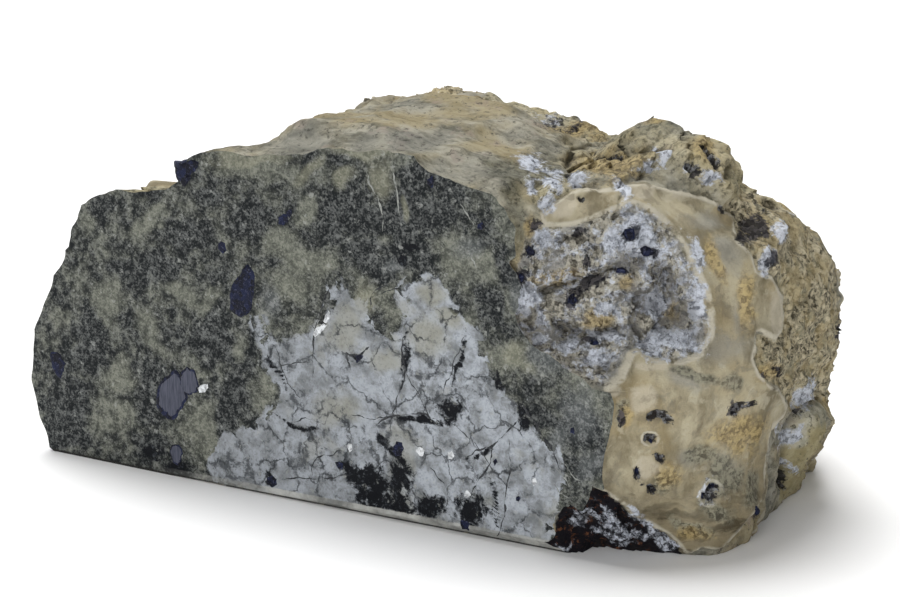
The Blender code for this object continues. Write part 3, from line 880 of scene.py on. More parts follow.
def rise(tree, value, low, high, start=0.0, end=1.0):
    # S curve from start at low to end at high
    sockets = {"Value": value, "From Min": low, "From Max": high, "To Min": start, "To Max": end}
    return put(tree, "MapRange", sockets, interpolation_type="SMOOTHSTEP").outputs["Result"]


def tint(tree, factor, first, second):
    # first colour where factor is 0, second where it is 1; a colour is a socket or three numbers
    node = put(tree, "Mix", {0: factor}, data_type="RGBA")
    for key, value in ((6, first), (7, second)):
        feed(tree, node, {key: (*value, 1.0) if isinstance(value, tuple) else value})
    return node.outputs[2]


def toned(tree, value, low, high, first, second):
    # first colour where the value is low, second where it is high
    return tint(tree, rise(tree, value, low, high), first, second)


def laid(tree, colour, cover, strength, tone):
    # the tone laid over the colour, by the cover times the strength
    return tint(tree, calc(tree, "MULTIPLY", cover, strength), colour, tone)


def washed(tree, colour, sources, washes):
    # each wash (source, low, high, strength, tone) laid over the colour where its source rises
    for source, low, high, strength, tone in washes:
        colour = tint(tree, rise(tree, sources[source], low, high, 0.0, strength), colour, tone)
    return colour


def swayed(tree, value, noise, strength):
    # the value plus the noise's distance from a half times the strength
    return calc(tree, "MULTIPLY_ADD", calc(tree, "SUBTRACT", noise, 0.5), strength, value)


def cloud(tree, place, size, detail=3.0, roughness=0.55):
    # noise whose patches are about size millimetres across
    sockets = {"Vector": place, "Scale": 1.0 / size, "Detail": detail, "Roughness": roughness}
    return put(tree, "TexNoise", sockets).outputs["Fac"]


def grains(tree, place, size):
    # a random value for each grain of the given size, from the red of its random colour
    colour = put(tree, "TexVoronoi", {"Vector": place, "Scale": 1.0 / size}).outputs["Color"]
    return put(tree, "SeparateColor", {"Color": colour}).outputs["Red"]


def fieldOf(tree, name):
    # an attribute that the mesh stores at its points
    return put(tree, "Attribute", attribute_name=name).outputs["Fac"]


def raggedGroup():
    # S curve of a field to which noise of the given size and strength is added
    group = bpy.data.node_groups.new("raggedMask", "ShaderNodeTree")
    group.interface.new_socket("Place", in_out="INPUT", socket_type="NodeSocketVector")
    for name in ("Field", "Scale", "Ragged", "Low", "High"):
        group.interface.new_socket(name, in_out="INPUT", socket_type="NodeSocketFloat")
    group.interface.new_socket("Mask", in_out="OUTPUT", socket_type="NodeSocketFloat")
    given = group.nodes.new("NodeGroupInput").outputs
    result = group.nodes.new("NodeGroupOutput").inputs
    sockets = {"Vector": given["Place"], "Scale": given["Scale"], "Detail": 6.0, "Roughness": 0.72}
    noise = put(group, "TexNoise", sockets).outputs["Fac"]
    shifted = swayed(group, given["Field"], noise, given["Ragged"])
    sockets = {"Value": shifted, "From Min": given["Low"], "From Max": given["High"]}
    mask = put(group, "MapRange", sockets, interpolation_type="SMOOTHSTEP").outputs["Result"]
    group.links.new(mask, result["Mask"])
    return group


raggedMask = raggedGroup()


def mask(tree, place, field, low, high, ragged, size):
    # the field's ragged mask; a field is an attribute's name or a socket
    node = put(tree, "Group", node_tree=raggedMask)
    feed(tree, node, {
        "Place": place,
        "Field": fieldOf(tree, field) if isinstance(field, str) else field,
        "Scale": 1.0 / size,
        "Ragged": ragged,
        "Low": low,
        "High": high,
    })
    return node.outputs["Mask"]


def stretched(tree, place, scale):
    # place scaled along each axis; a noise there is long where the scale is small
    return put(tree, "Mapping", {"Vector": place, "Scale": scale}).outputs["Vector"]


def patternPlace(tree):
    # Object coordinates turned into stone-space millimetres
    where = put(tree, "TexCoord").outputs["Object"]
    sockets = {"Vector": where, "Location": tuple(boxCentre), "Scale": (1 / mm, 1 / mm, 1 / mm)}
    return put(tree, "Mapping", sockets).outputs["Vector"]


def stirred(tree, place, size, strength):
    # place moved by a noise colour, up to half the strength each way
    sockets = {"Vector": place, "Scale": 1.0 / size, "Detail": 3.0}
    noise = put(tree, "TexNoise", sockets).outputs["Color"]
    centred = put(tree, "VectorMath", {0: noise, 1: (0.5, 0.5, 0.5)}, operation="SUBTRACT").outputs[0]
    sockets = {0: centred, 1: (strength, strength, strength), 2: place}
    return put(tree, "VectorMath", sockets, operation="MULTIPLY_ADD").outputs[0]


# The tall sawn face: a breccia of grey-green matrix, olive clasts and a white shocked zone

faceMarks = {
    "whiteZone": (                              # outline of the white, crackled zone
        (253, 304), (262, 333), (276, 347), (300, 340), (313, 336), (322, 318), (330, 300), (339, 273),
        (346, 290), (351, 302), (360, 294), (368, 290), (374, 319), (380, 332), (399, 335), (402, 313),
        (408, 287), (424, 280), (440, 282), (448, 302), (471, 325), (480, 345), (486, 372), (494, 385),
        (520, 405), (526, 418), (540, 437), (560, 465), (563, 494), (556, 530), (545, 560), (440, 545),
        (333, 512), (270, 500), (219, 484), (204, 460), (232, 440), (256, 425), (285, 405), (272, 376),
        (262, 345),
    ),
    "olive": (                                  # soft olive clasts: photo place, half sizes, turn
        (107, 300, 17, 25, 0), (120, 373, 13, 28, 0), (112, 420, 22, 30, 0), (199, 430, 24, 38, 0),
        (152, 219, 28, 9, -35), (285, 241, 20, 18, 0), (295, 286, 34, 22, 0), (265, 393, 10, 28, 0),
        (60, 318, 12, 16, 0), (87, 222, 13, 12, 0), (475, 262, 30, 38, -35), (180, 292, 22, 10, 30),
        (308, 212, 22, 12, -50), (210, 300, 8, 26, 20), (328, 338, 13, 12, 0), (500, 190, 20, 24, 30),
        (392, 305, 13, 22, 0), (525, 225, 16, 18, 0), (585, 392, 26, 16, 20), (150, 330, 26, 12, 60),
        (240, 345, 12, 16, 0), (255, 168, 46, 11, 5), (505, 355, 22, 16, 0), (310, 262, 26, 14, 0),
    ),
    "pale": (                                   # pale cream and yellow-olive mineral
        (255, 158, 48, 8, -3), (362, 152, 36, 9, 2), (379, 178, 14, 24, -10), (345, 180, 18, 8, -50),
        (228, 152, 18, 7, -10), (404, 207, 5, 14, -15), (425, 336, 22, 22, 0), (338, 410, 26, 20, 0),
        (515, 352, 14, 18, 20), (528, 366, 12, 8, 0), (434, 296, 18, 16, 20), (312, 171, 22, 7, -40),
        (345, 330, 20, 26, 0), (366, 300, 14, 22, 10), (448, 318, 20, 10, 20), (388, 360, 20, 14, 0),
    ),
    "murk": (                                   # dark patches
        (105, 204, 14, 12, 0), (116, 268, 14, 10, 0), (149, 445, 17, 15, 0), (60, 425, 16, 34, 10),
        (340, 208, 22, 26, 0), (420, 178, 26, 14, 0), (410, 255, 26, 18, 0), (210, 335, 24, 34, 0),
        (150, 385, 20, 36, 0), (188, 232, 24, 16, 0), (440, 210, 34, 20, 0), (248, 220, 24, 18, 0),
        (488, 292, 12, 26, -15), (330, 232, 20, 14, 0), (90, 345, 18, 34, 0), (232, 400, 16, 40, 0),
        (582, 430, 20, 24, 0), (500, 270, 10, 24, 10), (545, 415, 12, 12, 0), (400, 210, 60, 30, 10),
        (205, 200, 20, 14, 0), (70, 400, 18, 50, 0), (90, 440, 30, 12, 0), (165, 270, 16, 20, 20),
        (370, 255, 30, 16, 0),
    ),
    "broken": (                                 # where the white is dirtiest
        (250, 462, 55, 34, 0), (330, 448, 60, 34, 0), (440, 428, 44, 28, 0), (482, 470, 34, 40, 0),
        (410, 372, 34, 24, 0), (376, 300, 22, 30, 0), (440, 510, 60, 26, 0), (430, 395, 30, 20, 0),
        (356, 352, 16, 18, 0), (488, 380, 14, 30, 0), (510, 520, 16, 40, 0), (283, 360, 18, 26, 0),
        (395, 425, 14, 40, 0), (370, 450, 26, 18, 20), (300, 400, 24, 14, 30), (262, 330, 10, 26, -10),
    ),
    "inky": (                                   # blue-black patches low in the white zone
        (372, 490, 22, 26, -10), (356, 476, 13, 12, 0), (398, 506, 10, 18, 0), (400, 478, 11, 22, 0),
        (398, 450, 7, 10, 0), (428, 510, 18, 14, 0), (470, 508, 17, 16, -10), (472, 522, 8, 9, 0),
        (449, 407, 14, 14, 0), (270, 480, 6, 8, 0), (345, 466, 9, 9, 0), (525, 417, 8, 13, 0),
        (150, 452, 9, 9, 0), (176, 470, 14, 8, 0), (50, 455, 6, 6, 0), (432, 181, 4, 5, 0),
        (400, 262, 8, 7, 0), (411, 247, 12, 4, 0), (358, 354, 6, 5, 30), (501, 383, 5, 12, -20),
        (420, 420, 30, 4, 0), (404, 360, 3, 26, 0), (384, 440, 10, 6, 30), (497, 500, 3, 30, 0),
        (300, 425, 30, 3, 10), (280, 372, 3, 22, -20), (478, 452, 22, 3, -20), (455, 360, 3, 26, 15),
    ),
    "misty": (                                  # smooth blue-grey and beige mineral by the break
        (580, 412, 24, 34, 0), (592, 466, 16, 18, 0), (545, 352, 24, 26, 20), (520, 300, 12, 26, -20),
        (560, 440, 12, 26, 10), (470, 246, 20, 14, 0), (392, 268, 12, 12, 0), (268, 300, 14, 22, 0),
    ),
}

faceCracks = {                                  # half width in millimetres, then the photo places
    "spikeLeft": (0.12, (340, 268), (330, 288), (322, 303), (313, 336), (311, 360), (313, 380)),
    "blotch": (0.22, (368, 346), (359, 357), (346, 352), (352, 372)),
    "middle": (0.14, (402, 330), (402, 348), (405, 366), (405, 382), (397, 400), (391, 416)),
    "middleRight": (0.1, (405, 372), (417, 392), (428, 416), (444, 424)),
    "middleLow": (0.16, (377, 424), (391, 417), (408, 416), (426, 414), (440, 428)),
    "cream": (0.1, (465, 336), (456, 356), (451, 373), (443, 391), (432, 404)),
    "rightLow": (0.16, (526, 414), (514, 425), (503, 436), (494, 445), (478, 450), (465, 457)),
    "tall": (0.16, (509, 440), (510, 468), (506, 494), (504, 520), (497, 536)),
    "outer": (0.3, (523, 404), (532, 420), (541, 433), (549, 446), (556, 462), (563, 474)),
    "hookLow": (0.12, (313, 477), (311, 466), (316, 457), (330, 455), (345, 451)),
    "level": (0.1, (282, 481), (300, 477), (325, 479), (352, 474)),
    "branch": (0.1, (430, 466), (440, 478), (448, 494), (446, 508)),
    "fork": (0.12, (494, 445), (489, 465), (478, 482), (470, 500)),
    "leftRim": (0.1, (276, 347), (281, 366), (288, 384), (300, 398)),
    "cross": (0.1, (280, 366), (296, 362), (309, 362)),
    "thin": (0.08, (455, 424), (470, 440), (482, 452), (492, 470)),
    "lowLeft": (0.1, (330, 410), (326, 424), (306, 418), (290, 424)),
    "shelf": (0.1, (352, 414), (372, 420), (391, 417)),
    "clastRim": (0.1, (388, 283), (376, 290), (370, 300), (373, 318), (390, 326)),
    "upper": (0.08, (402, 286), (385, 292), (372, 298)),
}

faceStreaks = {                                 # pale lines, as the cracks
    "vLeft": (0.14, (365, 170), (370, 184), (379, 201), (382, 216), (383, 232)),
    "vRight": (0.14, (391, 168), (396, 186), (399, 204), (401, 222)),
    "crossed": (0.1, (460, 205), (466, 214), (473, 224)),
    "fleckA": (0.14, (468, 252), (473, 262), (476, 268)),
    "scratchA": (0.1, (552, 464), (562, 474), (570, 486)),
    "scratchB": (0.1, (560, 458), (572, 474), (580, 480)),
    "scratchC": (0.1, (548, 480), (560, 492), (574, 500)),
    "splinter": (0.18, (313, 332), (320, 325), (326, 326)),
    "paleRim": (0.12, (330, 322), (338, 326), (346, 340), (351, 350)),
}


def faceFields(points, label):
    # fields of the marks for points on the tall face; minus one, or minus ten, off it
    places = wandering(points)
    onTall = label == 0
    fields = {}
    for name, marks in faceMarks.items():
        off = -10.0 if name == "whiteZone" else -1.0
        fields[name] = np.where(onTall, markField(places, places, marks), off)
    return fields


sawnTones = {                                   # source, low, high and the tones there
    "dark": ("grit", 0.28, 1.05, (0.006, 0.008, 0.009), (0.135, 0.142, 0.138)),
    "light": ("grit", 0.1, 1.0, (0.08, 0.085, 0.07), (0.21, 0.216, 0.178)),
    "pale": ("grit", 0.0, 1.0, (0.16, 0.162, 0.12), (0.28, 0.278, 0.208)),
    "misty": ("grit", 0.1, 1.1, (0.075, 0.083, 0.083), (0.235, 0.245, 0.245)),
    "ink": ("grit", 0.66, 1.15, (0.001, 0.002, 0.004), (0.055, 0.063, 0.073)),
    "chalk": ("chalk", 0.36, 0.62, (0.165, 0.176, 0.183), (0.375, 0.403, 0.44)),
    # the strip's pale tone is partly its own grey-cream and partly painted light reflected up from the
    # floor
    "strip": ("blotch", 0.3, 0.7, (0.16, 0.162, 0.15), (0.52, 0.52, 0.49)),
}


def sawnPattern(tree, place):
    # colour, roughness and bump height in millimetres of the sawn faces
    stir = stirred(tree, place, 2.6, 2.4)
    fineStir = stirred(tree, place, 0.9, 0.6)
    axes = put(tree, "SeparateXYZ", {"Vector": place}).outputs
    fractal = cloud(tree, place, 1.6, 7.0, 0.8)
    salt = grains(tree, fineStir, 0.34)
    grit = swayed(tree, calc(tree, "MULTIPLY_ADD", fractal, 1.5, -0.25), salt, 0.5)
    noises = {
        "grit": swayed(tree, grit, cloud(tree, place, 3.2, 5.0, 0.7), 1.3),
        "chalk": cloud(tree, stir, 4.6, 6.0, 0.66),
        "blotch": cloud(tree, stir, 6.5, 5.0, 0.66),
    }
    tones = {name: toned(tree, noises[kind], *rest) for name, (kind, *rest) in sawnTones.items()}

    # the matrix: dark where the level is low, with olive clasts, pale mineral and misty patches
    olive = rise(tree, fieldOf(tree, "olive"), -0.3, 0.7, 0.0, 0.24)
    murk = rise(tree, fieldOf(tree, "murk"), -0.4, 0.7, 0.0, -0.17)
    level = calc(tree, "ADD", calc(tree, "ADD", noises["blotch"], olive), murk)
    level = swayed(tree, level, fractal, 0.45)
    colour = toned(tree, level, 0.4, 0.76, tones["dark"], tones["light"])
    pale = mask(tree, place, "pale", -0.2, 0.6, 1.1, 3.0)
    colour = laid(tree, colour, pale, 0.65, tones["pale"])
    misty = mask(tree, stir, "misty", -0.2, 0.8, 1.2, 4.0)
    colour = laid(tree, colour, misty, 0.75, tones["misty"])

    # the white zone: chalk with cream parts, dirt, a speckle of salt and dark seams between shards
    cream = rise(tree, cloud(tree, stir, 10.0), 0.54, 0.66, 0.0, 0.5)
    cream = calc(tree, "MAXIMUM", cream, calc(tree, "MULTIPLY", pale, 0.75))
    chalk = tint(tree, cream, tones["chalk"], (0.28, 0.278, 0.23))
    chalk = tint(tree, rise(tree, axes["X"], 100.0, 45.0, 0.0, 0.35), chalk, (0.17, 0.18, 0.187))
    warped = {"Vector": stirred(tree, stir, 1.6, 1.6), "Scale": 1 / 8.0}
    seams = put(tree, "TexVoronoi", warped, feature="DISTANCE_TO_EDGE").outputs["Distance"]
    dirt = calc(tree, "ADD", fractal, rise(tree, fieldOf(tree, "broken"), -0.3, 0.7, 0.0, 0.075))
    dirt = calc(tree, "ADD", dirt, rise(tree, seams, 0.0, 0.12, 0.1, 0.0))
    dirt = swayed(tree, dirt, noises["chalk"], -0.55)
    dirt = calc(tree, "ADD", dirt, rise(tree, axes["X"], 88.0, 104.0, 0.0, -0.035))
    chalk = tint(tree, rise(tree, dirt, 0.585, 0.72, 0.0, 0.85), chalk, (0.045, 0.05, 0.057))
    chalk = tint(tree, rise(tree, salt, 0.0, 0.4, 0.3, 0.0), chalk, (0.1, 0.105, 0.11))
    seam = rise(tree, seams, 0.006, 0.03, 0.75, 0.0)
    seam = calc(tree, "MULTIPLY", seam, rise(tree, noises["blotch"], 0.42, 0.56))
    chalk = tint(tree, seam, chalk, (0.018, 0.02, 0.023))
    zone = swayed(tree, fieldOf(tree, "whiteZone"), grains(tree, stir, 2.8), 2.4)
    colour = tint(tree, mask(tree, stir, zone, -0.5, 0.3, 4.0, 2.2), colour, chalk)
    colour = tint(tree, mask(tree, stir, "inky", -0.15, 0.35, 3.2, 2.0), colour, tones["ink"])

    # pale flecks, the worn strip under the face, partly painted light from the floor, and a painted
    # contact shadow along the face's foot
    fleck = rise(tree, grains(tree, fineStir, 0.75), 0.94, 0.97, 0.0, 0.5)
    fleck = calc(tree, "MULTIPLY", fleck, rise(tree, fractal, 0.46, 0.58))
    colour = tint(tree, fleck, colour, (0.34, 0.35, 0.33))
    # the worn strip: a pale band along the face's foot, partly its own tone and partly painted light
    # from the floor
    above = calc(tree, "MULTIPLY_ADD", axes["X"], -0.013, axes["Z"])
    above = calc(tree, "MULTIPLY_ADD", fractal, 0.9, above)
    strip = rise(tree, above, 1.35, 1.6, 0.85, 0.0)
    strip = calc(tree, "MULTIPLY", strip, rise(tree, axes["X"], 22.0, 62.0))
    colour = tint(tree, strip, colour, tones["strip"])
    # painted contact shadow: below 0.3 mm the face is darkened almost to black, fading out by 0.6 mm
    colour = tint(tree, rise(tree, axes["Z"], 0.3, 0.6, 0.95, 0.0), colour, (0.02, 0.02, 0.018))

    roughness = rise(tree, noises["grit"], 0.2, 0.9, 0.62, 0.42)
    return colour, roughness, calc(tree, "MULTIPLY", noises["grit"], 0.04)


roughTones = {                                  # source, low, high and the tones there
    "skin": ("woven", 0.34, 0.64, (0.155, 0.148, 0.11), (0.475, 0.45, 0.362)),
    "shade": ("grit", 0.36, 0.64, (0.035, 0.037, 0.028), (0.2, 0.198, 0.145)),
    "knobs": ("grit", 0.34, 0.62, (0.19, 0.17, 0.095), (0.7, 0.62, 0.4)),
    "tan": ("flow", 0.36, 0.62, (0.19, 0.161, 0.099), (0.44, 0.392, 0.272)),
    "low": ("lines", 0.4, 0.6, (0.065, 0.05, 0.028), (0.27, 0.225, 0.14)),
    "murk": ("grit", 0.36, 0.6, (0.05, 0.048, 0.038), (0.29, 0.28, 0.205)),
    "crumbly": ("grit", 0.32, 0.64, (0.05, 0.044, 0.036), (0.56, 0.53, 0.44)),
    "brown": ("grit", 0.33, 0.64, (0.05, 0.042, 0.026), (0.62, 0.55, 0.38)),
    "mossy": ("patchy", 0.35, 0.62, (0.23, 0.225, 0.165), (0.58, 0.55, 0.43)),
    "charred": ("grit", 0.57, 0.7, (0.007, 0.006, 0.009), (0.16, 0.065, 0.03)),
    "ochre": ("grit", 0.35, 0.64, (0.13, 0.088, 0.034), (0.52, 0.4, 0.18)),
    "lime": ("grit", 0.3, 0.6, (0.17, 0.185, 0.22), (0.74, 0.785, 0.88)),
    "dark": ("grain", 0.3, 0.95, (0.005, 0.006, 0.013), (0.07, 0.065, 0.075)),
    "pits": ("grit", 0.48, 0.66, (0.012, 0.011, 0.014), (0.27, 0.28, 0.3)),
}
roughWashes = {                                 # source, low, high, strength, tone laid on
    "skin": (
        ("broad", 0.46, 0.62, 0.6, (0.42, 0.34, 0.175)),
        ("patchy", 0.56, 0.7, 0.55, (0.37, 0.3, 0.255)),
        ("broad", 0.5, 0.36, 0.5, (0.22, 0.225, 0.205)),
        ("grit", 0.45, 0.3, 0.85, (0.055, 0.051, 0.041)),
        ("grit", 0.64, 0.74, 0.6, (0.55, 0.54, 0.48)),
    ),
    "tan": (
        ("broad", 0.47, 0.6, 0.5, (0.34, 0.27, 0.145)),
        ("patchy", 0.52, 0.62, 0.55, (0.5, 0.46, 0.345)),
        ("woven", 0.46, 0.34, 0.45, (0.2, 0.19, 0.145)),
    ),
    "wear": (
        ("speckle", 0.4, 0.26, 0.5, (0.13, 0.105, 0.066)),
        ("patchy", 0.44, 0.34, 0.45, (0.17, 0.15, 0.11)),
    ),
    "crumbly": (
        ("patchy", 0.47, 0.56, 0.6, (0.33, 0.33, 0.325)),
        ("woven", 0.46, 0.34, 0.6, (0.055, 0.05, 0.04)),
    ),
    "brown": (
        ("patchy", 0.46, 0.6, 0.55, (0.4, 0.315, 0.155)),
        ("woven", 0.5, 0.36, 0.5, (0.19, 0.19, 0.13)),
    ),
    "mossy": (
        ("broad", 0.47, 0.56, 0.6, (0.38, 0.31, 0.13)),
        ("grit", 0.44, 0.3, 0.8, (0.06, 0.056, 0.04)),
    ),
}
roughMasks = {                                  # low, high, raggedness, size of its noise
    "shade": (-0.1, 0.5, 1.4, 4.0),
    "knobbly": (0.0, 0.8, 1.6, 5.0),
    "greyHaze": (-0.2, 0.7, 1.4, 5.0),
    "creamPlate": (-0.1, 0.4, 1.0, 3.0),
    "crust": (-0.25, 0.2, 2.4, 2.4),
    "pocket": (-0.3, 0.3, 2.6, 2.4),
    "granular": (-0.4, 0.4, 3.0, 2.4),
    "lobe": (-0.4, 0.4, 2.2, 2.4),
    "corner": (-0.25, 0.25, 2.6, 2.0),
    "pits": (-0.15, 0.2, 3.0, 1.1),
}
stirredMasks = {                                # the same, of the stirred place
    "ochre": (-0.2, 0.6, 1.8, 3.0),
    "lime": (-0.2, 0.35, 3.4, 2.0),
    "dark": (-0.1, 0.3, 3.0, 1.2),
}


def roughPattern(tree, place):
    # colour, roughness and bump height in millimetres of the natural, weathered surfaces
    stir = stirred(tree, place, 3.0, 2.4)
    speckle = cloud(tree, place, 1.3, 7.0, 0.82)
    grain = grains(tree, stirred(tree, place, 0.8, 0.5), 0.7)
    noises = {
        "speckle": speckle,
        "grain": grain,
        "grit": swayed(tree, speckle, grain, 0.2),
        "patchy": cloud(tree, stir, 5.0, 5.0, 0.65),
        "broad": cloud(tree, place, 16.0),
        "woven": cloud(tree, stretched(tree, stir, (0.3, 1.0, 1.0)), 3.2, 6.0, 0.72),
        "flow": cloud(tree, stretched(tree, stir, (1.0, 1.0, 0.45)), 6.0, 6.0, 0.6),
        "lines": cloud(tree, stretched(tree, stir, (0.4, 0.4, 2.2)), 4.0, 4.0, 0.6),
    }
    patchy = noises["patchy"]
    tones = {name: toned(tree, noises[kind], *rest) for name, (kind, *rest) in roughTones.items()}
    masks = {name: mask(tree, place, name, *band) for name, band in roughMasks.items()}
    masks.update({name: mask(tree, stir, name, *band) for name, band in stirredMasks.items()})

    # the bare skin of the top, and the tan crust, which darkens towards its foot
    skin = washed(tree, tones["skin"], noises, roughWashes["skin"])
    skin = laid(tree, skin, masks["shade"], 0.72, tones["shade"])
    skin = laid(tree, skin, masks["knobbly"], 0.5, tones["knobs"])
    tan = washed(tree, tones["tan"], noises, roughWashes["tan"])
    tan = laid(tree, tan, masks["greyHaze"], 0.55, (0.27, 0.27, 0.245))
    tan = laid(tree, tan, masks["creamPlate"], 0.6, (0.54, 0.49, 0.385))
    level = put(tree, "SeparateXYZ", {"Vector": stir}).outputs["Z"]
    tan = tint(tree, rise(tree, level, 18.0, 4.0, 0.0, 0.85), tan, tones["low"])
    tan = laid(tree, tan, masks["shade"], 0.8, tones["murk"])
    tan = washed(tree, tan, noises, roughWashes["wear"])

    # each kind of break over them, then ochre stain and the crust's pale, broken rim
    colour = tint(tree, masks["crust"], skin, tan)
    for kind, tone in (("granular", "brown"), ("pocket", "crumbly"), ("lobe", "mossy")):
        broken = washed(tree, tones[tone], noises, roughWashes[tone])
        colour = tint(tree, masks[kind], colour, broken)
    colour = laid(tree, colour, masks["ochre"], 0.72, tones["ochre"])
    rim = calc(tree, "ABSOLUTE", calc(tree, "SUBTRACT", fieldOf(tree, "crust"), 0.45))
    rimBreak = calc(tree, "MULTIPLY", masks["crust"], rise(tree, patchy, 0.36, 0.5, 0.0, 0.9))
    rimPale = calc(tree, "MULTIPLY", rise(tree, rim, 0.15, 0.8, 1.0, 0.0), rimBreak)
    rimPale = calc(tree, "MULTIPLY", rimPale, rise(tree, fieldOf(tree, "seen"), 0.0, 1.0, 0.4, 1.0))
    colour = tint(tree, rimPale, colour, (0.62, 0.58, 0.47))
    colour = tint(tree, masks["corner"], colour, tones["charred"])

    # white lime, which has gaps in the corner, and dark grains
    gaps = calc(tree, "MULTIPLY", masks["corner"], rise(tree, speckle, 0.53, 0.45, 0.0, 0.9))
    lime = calc(tree, "MULTIPLY", masks["lime"], calc(tree, "SUBTRACT", 1.0, gaps))
    colour = laid(tree, colour, lime, 0.88, tones["lime"])
    colour = laid(tree, colour, masks["dark"], 0.92, tones["dark"])

    # the pits' pale rims and dark floors, and painted shade in the caves: hollows darkened by their
    # depth
    pitRim = calc(tree, "ABSOLUTE", calc(tree, "ADD", fieldOf(tree, "pitRims"), 0.4))
    pitRim = rise(tree, pitRim, 0.12, 0.38, 0.65, 0.0)
    pitRim = calc(tree, "MULTIPLY", pitRim, rise(tree, patchy, 0.6, 0.4))
    colour = tint(tree, pitRim, colour, (0.58, 0.55, 0.46))
    colour = laid(tree, colour, masks["pits"], 0.94, tones["pits"])
    caveShade = rise(tree, fieldOf(tree, "caveShade"), 0.15, 1.0, 0.0, 0.5)
    colour = tint(tree, caveShade, colour, (0.028, 0.024, 0.02))

    roughness = rise(tree, speckle, 0.3, 0.7, 0.62, 0.86)
    soft = calc(tree, "MULTIPLY_ADD", fieldOf(tree, "crust"), -0.12, 1.0, clamp=True)
    soft = calc(tree, "MAXIMUM", soft, 0.4)
    height = calc(tree, "MULTIPLY", calc(tree, "MULTIPLY", speckle, 0.8), soft)
    return colour, roughness, calc(tree, "MULTIPLY_ADD", grain, 0.05, height)


def patternMaterial(name, pattern):
    # a material whose pattern function gives its colour, roughness and bump height
    material = bpy.data.materials.new(name)
    material.use_nodes = True
    tree = material.node_tree
    colour, roughness, height = pattern(tree, patternPlace(tree))
    bump = put(tree, "Bump", {"Height": height, "Strength": 1.0, "Distance": mm})
    feed(tree, tree.nodes["Principled BSDF"], {
        "Base Color": colour,
        "Roughness": roughness,
        "Normal": bump.outputs["Normal"],
        "Specular IOR Level": 0.15,
    })
    return material


print("stone: working out the grid")
stonePoints, stoneLabel, stoneFields, stoneColumns, stoneRows = stoneMesh()
stone = meshPiece(
    "stoneBody",
    stonePoints,
    [face.tolist() for faces in ringFaces(stoneColumns, stoneRows) for face in faces],
    patternMaterial("weatheredStone", roughPattern),
)
stone.data.materials.append(patternMaterial("sawnStone", sawnPattern))
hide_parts("stone")
stoneFields.update(faceFields(stonePoints, stoneLabel))
for name, values in stoneFields.items():
    storeField(stone.data, name, values)
sawnFaces = planarFaces(stonePoints, stone.data)
stone.data.polygons.foreach_set("material_index", sawnFaces.astype(np.int32))
stone.data.set_sharp_from_angle(angle=np.radians(42.0))
print("stone:", len(stonePoints), "points")


# Grains and veins cut through by the saw, so that they lie flush with the tall face

faceGrains = {                                  # outlines in photo places
    "navy": {
        "step": (
            (175, 167), (183, 162), (192, 161), (199, 161), (198, 168), (193, 174), (189, 181),
            (186, 187), (181, 184), (178, 178), (175, 173),
        ),
        "tall": (
            (247, 265), (251, 267), (255.5, 275), (255, 286), (254, 295), (252, 309), (247, 316),
            (242, 318), (238, 317.5), (233, 313), (230, 309), (230, 298), (232, 286), (235, 279),
            (240, 275), (243, 268),
        ),
        "left": (
            (49, 355), (53, 351), (57, 352), (62, 358), (65, 362), (64, 371), (61, 378), (53.5, 372),
        ),
        "small": ((221, 241), (225, 244), (226, 251), (223, 255), (219, 250), (218, 244)),
        "high": ((279, 217), (284, 214), (288, 216), (288, 222), (284, 226), (279, 224)),
        "highTip": ((287, 211), (291, 208), (293, 212), (290, 218), (287, 216)),
        "spotA": ((428, 178), (433, 176), (435, 181), (432, 187), (428, 184)),
        "spotB": ((478, 224), (482, 222), (485, 226), (482, 230), (478, 229)),
        "spotC": ((393, 446), (397, 442), (402, 444), (404, 450), (401, 455), (396, 456), (393, 452)),
        "spotD": ((267, 479), (272, 475), (277, 478), (276, 484), (271, 487), (267, 484)),
        "spotE": ((336, 463), (340, 461), (343, 464), (342, 469), (337, 468)),
        "spotF": ((461, 522), (466, 520), (470, 524), (468, 530), (462, 530)),
        "spotG": ((571, 429), (574, 428), (576, 431), (575, 435), (571, 434)),
        "spotH": ((355, 354), (360, 353), (363, 357), (360, 361), (356, 361)),
        "spotI": ((492, 460), (496, 459), (497, 462), (494, 465)),
        "spotJ": ((516, 497), (519, 496), (521, 499), (519, 502), (516, 501)),
    },
    "metal": {
        "big": (
            (174, 372), (178, 373), (180, 376), (181, 384), (185, 390), (186, 396), (182, 406),
            (176, 416), (172, 419), (168, 418), (162, 412), (158, 407), (157, 398), (158, 391),
            (161, 385), (165, 380), (170, 375),
        ),
        "small": (
            (187, 368), (192, 370), (196, 375), (198, 381), (199, 387), (196, 391), (192, 393),
            (186, 393), (182, 391), (180, 385), (180, 378), (183, 372),
        ),
        "low": ((172, 446), (178, 445), (182, 450), (182, 460), (178, 464), (172, 461), (170, 453)),
    },
    "glint": {
        "flake": ((198, 388), (203, 385), (208, 383), (209, 387), (205, 392), (199, 394)),
        "whiteA": ((417, 447), (421, 446), (424, 450), (423, 455), (419, 456), (416, 452)),
        "whiteB": ((448, 453), (452, 451), (454, 455), (452, 459), (448, 458)),
        "whiteC": ((465, 491), (468, 491), (470, 495), (467, 498), (464, 496)),
        "whiteD": ((349, 445), (352, 445), (353, 450), (350, 452), (348, 449)),
        "whiteE": ((532, 478), (536, 478), (537, 483), (533, 485), (531, 482)),
        "splinter": ((312, 334), (316, 328), (323, 323), (327, 324), (321, 331), (315, 337)),
        "splinterTop": ((322, 322), (325, 316), (328, 311), (329, 317), (326, 322)),
    },
}

grainShape = {                                  # share of the way out, height over the proud height
    "profile": ((0.3, 1.0), (0.62, 1.0), (0.86, 0.8), (0.98, 0.25), (1.0, -3.0), (0.8, -8.0)),
    "columns": 56,
    "proud": 0.05,
    "raggedness": 0.2,
    "rim": 1.1,
}


